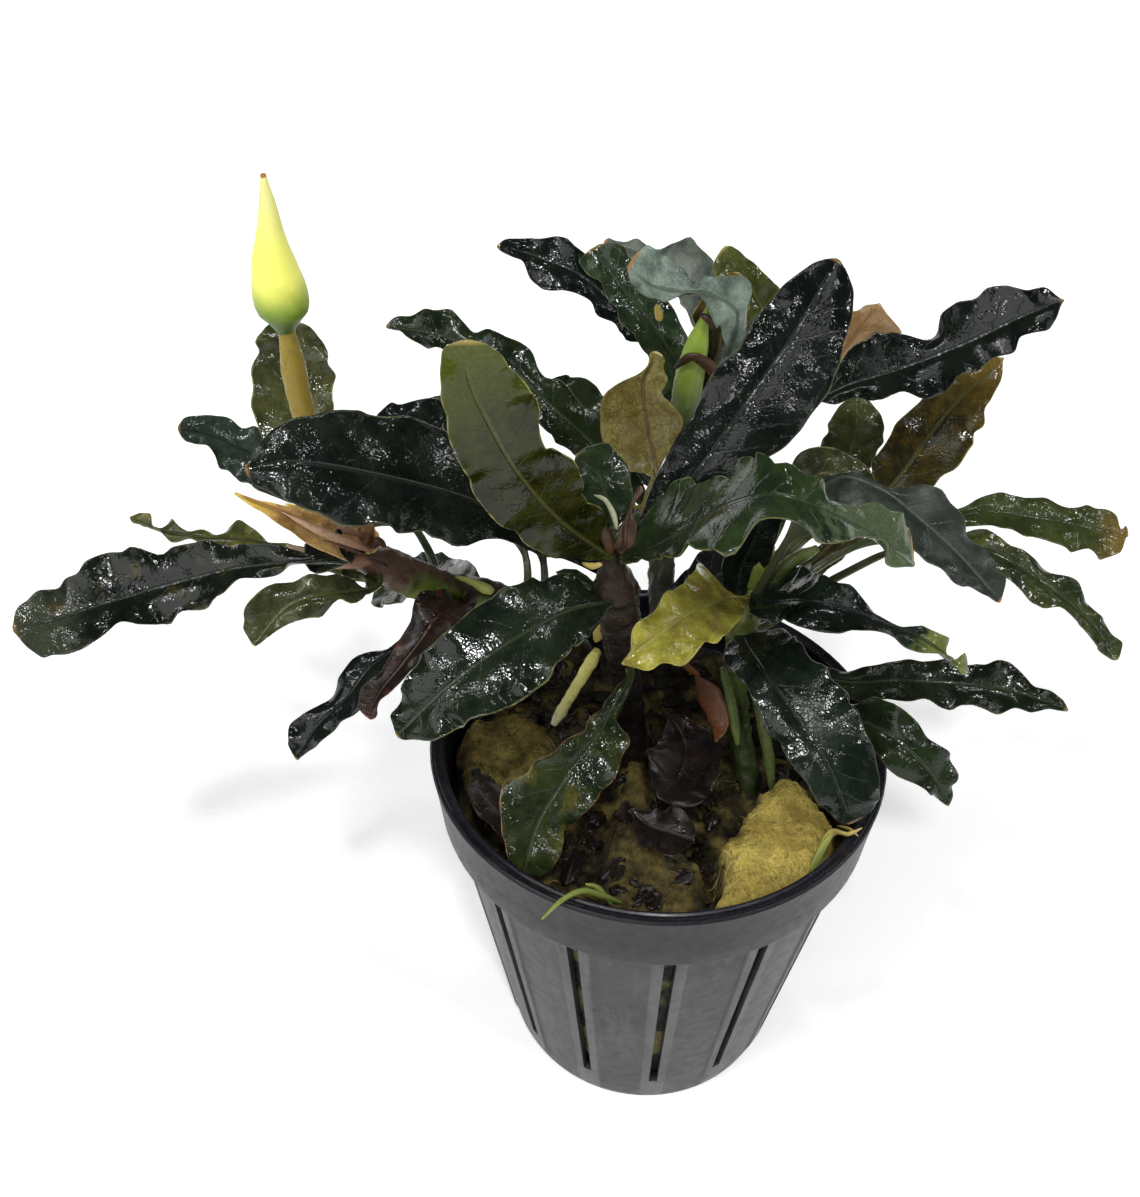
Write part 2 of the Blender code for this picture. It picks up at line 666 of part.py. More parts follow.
def make_chunk(name, start, end, lump, notch=None):
    """A wedge of rockwool between two bearings, from the pot's floor to a lumpy top.

    A notch is two bearings between which its inner part is lower by the third number.
    """
    shape = bmesh.new()
    bmesh.ops.create_cube(shape, size=1.0)
    bmesh.ops.subdivide_edges(shape, edges=shape.edges, cuts=3, use_grid_fill=True)
    middle = math.radians((start + end) / 2)
    shift = Vector((math.cos(middle), math.sin(middle), 0.0)) * CHUNK_SHIFT
    for vert in shape.verts:
        around = 0.5 - vert.co.x
        outward = vert.co.y + 0.5
        level = round((vert.co.z + 0.5) * 4)
        height = ROCKWOOL_LEVELS[level]
        inner = CORE_RADIUS if level < WELL_LEVEL else WELL_RADIUS
        wall = BASE_RADIUS + (WALL_TOP_RADIUS - BASE_RADIUS) * height / (POT_HEIGHT - BAND_HEIGHT)
        outer = min(wall, WALL_TOP_RADIUS) - WALL_THICKNESS - GAP - CHUNK_SHIFT - WALL_SLACK
        radius = inner + (outer - inner) * outward
        bearing = start + (end - start) * around
        if level == 4:
            height += lump * math.sin(5.1 * around + 1.3 * outward + start) + CROWN_RISE * outward
        if level >= WELL_LEVEL and notch and notch[0] < bearing < notch[1] and outward < 0.6:
            height -= notch[2]
        place = Vector((math.cos(math.radians(bearing)), math.sin(math.radians(bearing)), 0.0))
        vert.co = (place * radius + shift + Vector((0.0, 0.0, height))) * MM
    mesh = bpy.data.meshes.new(name)
    shape.to_mesh(mesh)
    shape.free()
    return new_object(name, mesh, "rockwool")


def make_spindle(name, foot, tip, widest, tone, steps):
    """A closed flower: a plump turned spindle that stands from foot to tip."""
    length = (tip - foot).length
    outline = [(0.0, 1.0), (0.16, 0.97), (0.34, 0.84), (0.62, 0.62), (0.93, 0.4), (1.0, 0.26)]
    outline += [(0.86, 0.12), (0.55, 0.03), (0.4, 0.0), (0.0, 0.0)]
    profile = [(widest * radius, length * height) for radius, height in outline]
    spindle = turned(name, profile, steps, tone)
    spindle.location = foot * MM
    spindle.rotation_mode = "QUATERNION"
    spindle.rotation_quaternion = (tip - foot).to_track_quat("Z", "Y")


def make_stems():
    """The four shoots, the flower's stalk and the root that hangs to the rockwool."""
    for name, shoot in SHOOTS.items():
        tube(name, [seen(*place) for place in shoot.points], shoot.radii, SHOOT_STATIONS, shoot.tone)
    stalk = [(362, 548, 4), (335, 500, 4), (312, 440, 2), (300, 400, 1), (288, 338, 0)]
    tube("peduncle", [seen(*place) for place in stalk], [0.9, 1.0, 1.0, 1.1], 10, "peduncle")
    root = [(597, 651, 2.5), (584, 674, 3), (568, 700, 3), (554, 724, 2.6)]
    tube("aerial_root", [seen(*place) for place in root], [0.75, 0.8, 0.7], 7, "root")


def make_flowers():
    """The tall closed flower at the left and the bud behind the middle leaves."""
    make_spindle("spathe", seen(286, 331, 0), seen(263, 174, 0), 2.1, "spathe", 14)
    bud = [(676, 478, 20), (679, 445, 19), (684, 415, 18), (689, 380, 18), (697, 345, 18), (708, 307, 18)]
    girth = [0.6, 0.6, 0.7, 1.1, 1.4, 1.4, 1.2, 0.8, 0.25]
    tube("bud_spathe", [seen(*place) for place in bud], girth, 13, "bud")


def make_rockwool():
    """The four chunks that fill the pot and leave a well in the middle for the shoots."""
    make_chunk("rockwool_right", -68.0, 24.0, 0.5, (-25.0, 30.0, 7.0))
    make_chunk("rockwool_front", -114.0, -68.0, 0.4)
    make_chunk("rockwool_left", -236.0, -114.0, 0.6)
    make_chunk("rockwool_back", 24.0, 124.0, 0.5)


def make_leaves():
    """Every living leaf, sheath and dead leaf."""
    for group in (LEAVES, SHEATHS, DEAD_LEAVES):
        for name, leaf in group.items():
            loft(name, leaf_sections(leaf), leaf.tone)


for old in list(bpy.data.objects):
    bpy.data.objects.remove(old, do_unlink=True)
PLANT = bpy.data.collections.new("bucephalandra")
CUTTERS = bpy.data.collections.new("cutters")
bpy.context.scene.collection.children.link(PLANT)
bpy.context.scene.collection.children.link(CUTTERS)
CUTTERS.hide_render = True
make_pot()
make_rockwool()
make_stems()
make_flowers()
make_leaves()
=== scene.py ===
"""The looks of a small bucephalandra in a slotted net pot packed with rockwool.

Lengths in this file are millimetres, and MM turns them into metres where a mesh is made. A point of
the plant is written as the pixel of the 1140 x 1197 view where it shows and its depth (Y), and
seen() turns that into a place, so leaves lie where the CAD leaves lie.
"""

import math
import random
from collections import namedtuple

import bpy
import numpy as np
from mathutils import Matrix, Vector, noise


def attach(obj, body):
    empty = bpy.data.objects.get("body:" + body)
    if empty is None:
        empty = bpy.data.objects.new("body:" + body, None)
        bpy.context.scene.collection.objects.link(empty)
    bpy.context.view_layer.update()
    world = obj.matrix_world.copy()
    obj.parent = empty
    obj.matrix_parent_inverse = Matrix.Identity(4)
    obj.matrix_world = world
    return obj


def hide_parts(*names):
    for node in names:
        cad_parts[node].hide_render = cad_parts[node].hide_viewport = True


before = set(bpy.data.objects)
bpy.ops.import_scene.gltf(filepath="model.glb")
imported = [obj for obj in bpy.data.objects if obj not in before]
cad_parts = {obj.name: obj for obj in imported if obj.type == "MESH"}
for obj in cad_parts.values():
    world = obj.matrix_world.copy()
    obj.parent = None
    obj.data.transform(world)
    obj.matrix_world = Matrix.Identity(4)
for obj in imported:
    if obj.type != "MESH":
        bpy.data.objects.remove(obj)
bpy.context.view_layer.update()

MM = 0.001

# Camera
EYE = Vector((-9.57, -92.12, 144.06))
VIEW_TILT = math.radians(39.837)
FOCAL_PX = 1197.0
CENTRE_PX = (570.0, 598.5)
FORWARD = Vector((0.0, math.cos(VIEW_TILT), -math.sin(VIEW_TILT)))
UPWARD = Vector((0.0, math.sin(VIEW_TILT), math.cos(VIEW_TILT)))

# Pot, as in the CAD model
POT_HEIGHT = 48.0
RIM_RADIUS = 25.0
BAND_HEIGHT = 8.0
BAND_FOOT_RADIUS = 24.3
WALL_TOP_RADIUS = 23.0
BASE_RADIUS = 17.0
WALL = 1.0
FLOOR = 1.2
SLOT_COUNT = 14
SLOT_TOP = 38.6
SLOT_FOOT = 6.0
FIRST_SLOT_DEGREES = -88.5
SLOT_HALF_ANGLE = 0.0275

# Leaf make-up
STALK_RADIUS = 0.55
STEP_ALONG = 0.36
POINTS_ACROSS = 20
BLADE_HALF_THICK = 0.13
SEED_STEP = 17

# The margins' frill: length of a wave, its share of the half-width, its lift, and how strong it is on
# the leaves whose margins are smoother than the rest
FRILL_PITCH = 3.1
FRILL_SHARE = 0.042
FRILL_LIFT = 0.36
SMOOTH_MARGINS = {
    "leaf_black_diag": 0.25, "leaf_black_big": 0.55, "leaf_olive_big": 0.5, "leaf_tan_center": 0.7,
}

# How a margin follows its outline in the view: the widths (stations) over which it and its trend are
# smoothed, how much of the difference becomes lift, and the greatest lift (mm)
OUTLINE_SOFT = 0.9
TREND_SOFT = 6.5
LIFT_GAIN = 1.15
GREATEST_LIFT = 1.0

# How far a leaf's margins curl back down, as a slope across the blade
MARGIN_CURL = 0.08

Shoot = namedtuple("Shoot", "points radii")
Leaf = namedtuple(
    "Leaf",
    "shoot tone width stalk rib face waves ripple fold belly",
    defaults=(5.0, 0.9, 12.0, 0.56),
)


def sight(px, py):
    """The way from the eye to pixel (px, py) of the view."""
    across = (px - CENTRE_PX[0]) / FOCAL_PX
    upward = (CENTRE_PX[1] - py) / FOCAL_PX
    return FORWARD + Vector((across, 0.0, 0.0)) + upward * UPWARD


def seen(px, py, depth):
    """The point at this depth (Y, mm) that shows at pixel (px, py) of the view."""
    ray = sight(px, py)
    return EYE + ray * ((depth - EYE.y) / ray.y)


def level(px, py, height):
    """The point at this height (Z, mm) that shows at pixel (px, py) of the view."""
    ray = sight(px, py)
    return EYE + ray * ((height - EYE.z) / ray.z)


def shown(point):
    """The pixel of the view where a point shows."""
    reach = point - EYE
    away = reach.dot(FORWARD)
    across = CENTRE_PX[0] + FOCAL_PX * reach.x / away
    down = CENTRE_PX[1] - FOCAL_PX * reach.dot(UPWARD) / away
    return Vector((across, down))


# Shoots: points as (pixel x, pixel y, depth), with radii spread evenly along them
SHOOTS = {
    "stem_main": Shoot([(614, 530, 2), (612, 558, 0), (617, 600, 0), (622, 650, 1), (629, 700, 2),
        (634, 760, 1), (636, 800, 0)], [0.6, 2.3, 2.0, 1.5, 1.6, 1.7, 1.5]),
    "stem_left": Shoot([(590, 655, 6), (560, 632, 5), (500, 602, 4), (440, 588, 3), (385, 566, 1),
        (335, 548, 0)], [1.3, 1.4, 1.8, 2.0, 1.9, 1.3]),
    "stem_right": Shoot([(760, 575, 8), (750, 605, 6), (740, 640, 5), (736, 680, 4), (738, 720, 2),
        (746, 765, -1), (752, 815, -4)], [0.5, 1.5, 1.4, 1.3, 1.3, 1.2, 1.1]),
    "stem_back": Shoot([(672, 445, 26), (668, 475, 24), (664, 520, 21), (662, 570, 17), (662, 630, 12),
        (662, 688, 9)], [0.5, 1.6, 1.6, 1.5, 1.4, 1.4]),
}

# Leaves: the shoot, the finish, the width, the share of the length that is stalk, the midrib as
# (pixel x, pixel y, depth) from foot to tip, and the ways the upper face looks along it. Then how
# many waves the edges make and how high, how far the halves fold up, and where the blade is widest.
LEAVES = {
    "leaf_far_left": Leaf("stem_left", "black", 8.5, 0.08, [(350, 560, -3), (308, 562, -4), (240, 568, -3),
        (180, 582, -3), (120, 599, -4), (60, 618, -6), (13, 630, -8)], [(0.1, -0.55, 0.8),
        (-0.1, -0.6, 0.8)], waves=5.5, ripple=1.0, belly=0.6),
    "leaf_left_hooked": Leaf("stem_left", "black", 6.6, 0.35, [(438, 580, 5), (427, 548, 8), (400, 515, 13),
        (340, 490, 18), (290, 472, 21), (245, 450, 22), (210, 434, 22), (178, 428, 21)],
        [(0.2, -0.5, 0.85)], waves=4.5),
    "leaf_left_upright": Leaf("stem_left", "olive", 9.6, 0.25, [(372, 562, 4), (340, 510, 11),
        (308, 450, 17), (296, 390, 21), (294, 321, 24)], [(0.05, -0.9, 0.4)], waves=5.0, ripple=0.7,
        belly=0.5),
    "leaf_thin_left": Leaf("stem_left", "green", 5.5, 0.2, [(388, 580, 5), (340, 562, 9), (290, 548, 13),
        (245, 540, 16), (205, 538, 18), (165, 532, 19), (130, 517, 20)], [(0.05, -0.2, 1.0)], waves=4.0),
    "leaf_black_big": Leaf("stem_main", "black", 11.0, 0.12, [(603, 572, 2), (540, 535, 0), (470, 500, -4),
        (380, 476, -8), (300, 463, -11), (244, 468, -12)], [(0.05, -0.72, 0.69)], waves=5.0, ripple=0.8,
        fold=8.0, belly=0.6),
    "leaf_olive_big": Leaf("stem_main", "olive", 10.0, 0.1, [(606, 553, -1), (560, 520, -6),
        (520, 475, -10), (490, 425, -12), (470, 380, -13), (466, 340, -13)], [(0.05, -0.85, 0.5)],
        waves=5.0, ripple=0.8, fold=8.0),
    "leaf_olive_left_low": Leaf("stem_left", "olive", 5.4, 0.12, [(378, 585, -2), (345, 592, -5),
        (315, 596, -7), (285, 608, -8), (254, 646, -10)], [(0.0, -0.6, 0.8)], waves=4.0, ripple=0.6),
    "leaf_dead_left": Leaf("stem_left", "dead", 5.0, 0.08, [(465, 602, 1), (438, 616, -3), (420, 642, -5),
        (398, 670, -7), (382, 690, -8), (368, 718, -9)], [(-0.2, -0.5, 0.8)], waves=3.0, ripple=0.7,
        fold=20.0),
    "leaf_dark_left_low": Leaf("stem_left", "black", 5.6, 0.1, [(455, 612, 4), (410, 640, 3), (372, 666, 1),
        (348, 697, -1), (318, 726, -3), (297, 760, -5)], [(-0.3, -0.35, 0.9)], waves=4.0, ripple=0.9),
    "leaf_big_lower_left": Leaf("stem_main", "green", 11.0, 0.05, [(607, 602, -2), (565, 612, -5),
        (505, 645, -9), (450, 685, -12), (397, 736, -14)], [(-0.15, -0.6, 0.8)], waves=5.0, ripple=0.8,
        fold=8.0, belly=0.48),
    "leaf_pot_front": Leaf("stem_main", "green", 8.6, 0.2, [(630, 675, -1), (616, 700, -4), (596, 738, -8),
        (562, 782, -12), (535, 828, -15), (522, 880, -18)], [(0.25, -0.75, 0.6)], waves=4.5, ripple=0.7),
    "leaf_yellow_small": Leaf("stem_right", "yellow", 8.6, 0.12, [(733, 597, 3), (718, 601, -1),
        (690, 613, -5), (655, 638, -8), (622, 664, -10)], [(-0.1, -0.55, 0.85)], waves=3.5, ripple=0.7),
    "leaf_dark_front_right": Leaf("stem_right", "black", 9.6, 0.1, [(744, 642, 3), (763, 670, -4),
        (795, 715, -9), (826, 763, -13), (850, 824, -16)], [(-0.1, -0.6, 0.8)], waves=5.0, ripple=0.7,
        fold=8.0, belly=0.6),
    "leaf_right_mid": Leaf("stem_right", "black", 6.6, 0.06, [(768, 602, 3), (805, 601, -2), (850, 611, -4),
        (885, 624, -6), (925, 641, -7), (967, 674, -8)], [(0.0, -0.6, 0.8), (-0.1, 0.0, 1.0)], waves=5.0,
        ripple=0.8, belly=0.42),
    "leaf_right_low_long": Leaf("stem_right", "green", 6.6, 0.12, [(750, 645, 9), (800, 668, 8),
        (848, 682, 6), (900, 681, 5), (960, 684, 4), (1020, 693, 2), (1068, 711, 0)], [(0.0, -0.5, 0.85)],
        waves=5.0, ripple=0.8),
    "leaf_right_low_short": Leaf("stem_right", "green", 6.0, 0.35, [(746, 676, 5), (800, 698, 1),
        (850, 716, -3), (885, 732, -6), (912, 753, -8), (935, 780, -9), (948, 806, -10)],
        [(0.0, -0.6, 0.8)], waves=4.0, ripple=0.7),
    "leaf_mid_right_green": Leaf("stem_main", "green", 8.2, 0.08, [(632, 558, -1), (665, 541, -6),
        (700, 520, -10), (735, 502, -13), (768, 495, -15), (805, 502, -16), (855, 526, -15),
        (914, 562, -14)], [(0.05, -0.6, 0.8), (0.1, -0.25, 1.0)], waves=6.0, ripple=0.7),
    "leaf_grey_right": Leaf("stem_right", "grey", 8.2, 0.4, [(758, 592, 6), (795, 530, 2), (835, 480, -1),
        (880, 489, -3), (920, 519, -5), (960, 556, -7), (1000, 602, -9)], [(0.0, -0.45, 0.9)], waves=4.0,
        ripple=0.8, belly=0.5),
    "leaf_curled_right": Leaf("stem_right", "grey", 5.0, 0.4, [(757, 570, 7), (778, 530, 8), (795, 492, 6),
        (820, 474, 5), (846, 480, 5), (862, 500, 5)], [(-0.1, -0.6, 0.8)], waves=2.5, ripple=0.7),
    "leaf_black_diag": Leaf("stem_main", "black", 11.6, 0.06, [(640, 545, 1), (696, 474, 3), (746, 404, 5),
        (795, 334, 7), (838, 259, 9)], [(0.0, -0.75, 0.65)], waves=5.0, ripple=0.5, fold=8.0, belly=0.62),
    "leaf_right_long_black": Leaf("stem_back", "black", 9.0, 0.35, [(684, 512, 21), (740, 455, 20),
        (824, 396, 19), (900, 369, 18), (960, 346, 17), (1020, 318, 16), (1064, 300, 15)],
        [(0.0, -0.6, 0.8)], waves=5.0, ripple=0.9, belly=0.66),
    "leaf_olive_brown_right": Leaf("stem_right", "olive", 9.3, 0.2, [(784, 584, 13), (830, 545, 17),
        (892, 485, 20), (946, 415, 23), (1004, 358, 26)], [(0.05, -0.75, 0.65)], waves=4.5, ripple=0.7),
    "leaf_right_upright_small": Leaf("stem_right", "olive", 8.3, 0.25, [(752, 580, 13), (795, 540, 20),
        (838, 485, 25), (856, 430, 28), (858, 388, 31)], [(0.0, -0.85, 0.5)], waves=4.0, ripple=0.6,
        belly=0.66),
    "leaf_orange_back": Leaf("stem_back", "orange", 7.8, 0.35, [(690, 484, 25), (762, 420, 28.5),
        (830, 365, 31), (880, 303, 33)], [(0.0, -0.75, 0.65)], waves=3.0, ripple=0.5),
    "leaf_right_green_ragged": Leaf("stem_right", "green", 6.1, 0.45, [(772, 622, 8), (808, 575, 10),
        (868, 541, 13), (930, 524, 15), (985, 512, 16), (1050, 520, 16), (1128, 536, 15)],
        [(0.0, -0.5, 0.85)], waves=5.0, ripple=0.7),
    "leaf_right_droop": Leaf("stem_right", "green", 5.3, 0.4, [(772, 614, 5), (838, 577, 5), (900, 549, 4),
        (965, 545, 2), (1028, 572, -1), (1085, 617, -4), (1118, 659, -6)], [(0.1, -0.5, 0.85)], waves=6.0,
        ripple=0.8),
    "leaf_narrow_inner": Leaf("stem_right", "black", 4.5, 0.1, [(735, 628, 6), (739, 575, 7), (757, 532, 6),
        (770, 492, 5)], [(0.1, -0.8, 0.6)], waves=2.0, ripple=0.3),
    "leaf_tan_center": Leaf("stem_main", "tan", 9.0, 0.15, [(636, 532, 4), (656, 480, 9), (648, 430, 12),
        (643, 385, 14), (658, 352, 15)], [(0.0, -0.85, 0.5)], waves=3.0, ripple=0.5, belly=0.52),
    "leaf_top_left_long": Leaf("stem_back", "black", 8.2, 0.1, [(660, 440, 27), (660, 395, 29),
        (642, 336, 31), (612, 302, 33), (578, 274, 34), (535, 256, 35), (497, 246, 35)],
        [(-0.1, -0.6, 0.8)], waves=6.0, ripple=0.8),
    "leaf_top_olive": Leaf("stem_back", "olive", 9.5, 0.1, [(672, 432, 24), (684, 385, 23), (652, 325, 25),
        (616, 280, 27), (596, 246, 29)], [(-0.1, -0.65, 0.75)], waves=4.0, ripple=0.6, belly=0.62),
    "leaf_top_folded": Leaf("stem_back", "grey", 5.4, 0.25, [(696, 455, 22), (718, 380, 20), (737, 318, 18),
        (712, 296, 17), (680, 292, 17), (650, 285, 17), (628, 266, 17)], [(0.1, -0.8, 0.5),
        (0.1, -0.5, 0.9)], waves=3.0, ripple=0.7),
    "leaf_curled_top": Leaf("stem_back", "olive", 6.0, 0.2, [(690, 440, 27), (708, 390, 26), (720, 345, 25),
        (728, 305, 25), (738, 272, 26)], [(-0.4, -0.7, 0.4)], waves=3.0, ripple=0.6, fold=25.0),
    "leaf_back_grey": Leaf("stem_back", "grey", 7.4, 0.1, [(672, 450, 30), (712, 350, 36.5),
        (700, 292, 38.5), (655, 262, 41), (604, 242, 42.5)], [(0.0, -0.5, 0.85)], waves=4.0, ripple=1.0),
    "leaf_back_olive": Leaf("stem_back", "olive", 7.4, 0.2, [(692, 462, 29), (764, 350, 34.5),
        (754, 292, 36), (724, 247, 37)], [(0.0, -0.6, 0.8)], waves=4.0, ripple=0.8),
    "leaf_back_left_long": Leaf("stem_back", "green", 7.4, 0.1, [(648, 512, 20), (600, 452, 22),
        (545, 400, 24), (505, 363, 26), (445, 337, 28), (386, 327, 29)], [(-0.1, -0.6, 0.8)], waves=6.0,
        ripple=0.8),
    "leaf_back_left_short": Leaf("stem_back", "green", 6.6, 0.15, [(652, 485, 25), (620, 450, 28),
        (585, 415, 31), (550, 380, 33)], [(-0.1, -0.6, 0.8)], waves=4.0, ripple=0.7),
    "leaf_teal_center": Leaf("stem_main", "green", 6.0, 0.2, [(613, 535, 3), (607, 505, 3), (597, 475, 4),
        (576, 455, 4)], [(0.0, -0.6, 0.8)], waves=2.5, ripple=0.5),
    "leaf_back_dark_low": Leaf("stem_back", "black", 7.4, 0.15, [(672, 590, 14), (700, 582, 15),
        (730, 572, 18), (768, 560, 21)], [(0.0, -0.5, 0.85)], waves=3.0, ripple=0.6),
    "leaf_back_left_tip": Leaf("stem_left", "green", 6.6, 0.3, [(528, 588, 8), (522, 545, 12),
        (482, 470, 19), (430, 398, 25)], [(-0.1, -0.7, 0.7)], waves=4.0, ripple=0.6),
    "leaf_behind_black": Leaf("stem_left", "black", 6.0, 0.25, [(545, 590, 8), (537, 540, 11),
        (490, 470, 13), (430, 430, 13), (375, 418, 12)], [(-0.1, -0.6, 0.8)], waves=4.0, ripple=0.6),
    "leaf_back_low_left": Leaf("stem_left", "green", 6.2, 0.15, [(482, 592, 7), (460, 578, 12),
        (436, 575, 17), (405, 585, 20), (372, 600, 22)], [(0.0, -0.3, 0.95)], waves=3.0, ripple=0.5),
}

# Sheaths: folded papery scales on the shoots
SHEATHS = {
    "sheath_left_long": Leaf("stem_left", "sheath", 3.4, 0.0, [(346, 541, -1), (312, 526, -3),
        (278, 511, -4), (234, 493, -4)], [(0.2, -0.6, 0.8)], waves=0.0, ripple=0.0, fold=30.0, belly=0.4),
    "sheath_left_short": Leaf("stem_left", "sheath", 3.2, 0.0, [(372, 541, 0), (347, 525, 2), (315, 513, 2),
        (285, 504, 2)], [(0.2, -0.6, 0.8)], waves=0.0, ripple=0.0, fold=30.0, belly=0.4),
    "sheath_crown": Leaf("stem_main", "sheath", 3.6, 0.0, [(624, 545, -3), (625, 525, -3), (632, 505, -2),
        (641, 486, -1)], [(0.1, -0.8, 0.5)], waves=0.0, ripple=0.0, fold=30.0, belly=0.4),
}

# Dead leaves that lie on the rockwool
DEAD_LEAVES = {
    "dead_leaf_center": Leaf("", "dead", 8.0, 0.1, [(662, 715, 3), (676, 724, 1), (686, 747, -2),
        (678, 778, -7), (658, 798, -10)], [(0.0, -0.4, 0.9)], waves=3.0, ripple=0.6),
    "dead_leaf_front": Leaf("", "dead", 5.5, 0.1, [(630, 810, -11), (650, 827, -13), (672, 834, -14),
        (694, 842, -15)], [(0.0, -0.2, 1.0)], waves=2.0, ripple=0.5),
    "dead_leaf_rim": Leaf("", "dead", 5.0, 0.05, [(476, 772, -5), (488, 795, -9), (505, 815, -12),
        (522, 835, -14)], [(0.2, -0.2, 1.0)], waves=2.0, ripple=0.5),
}

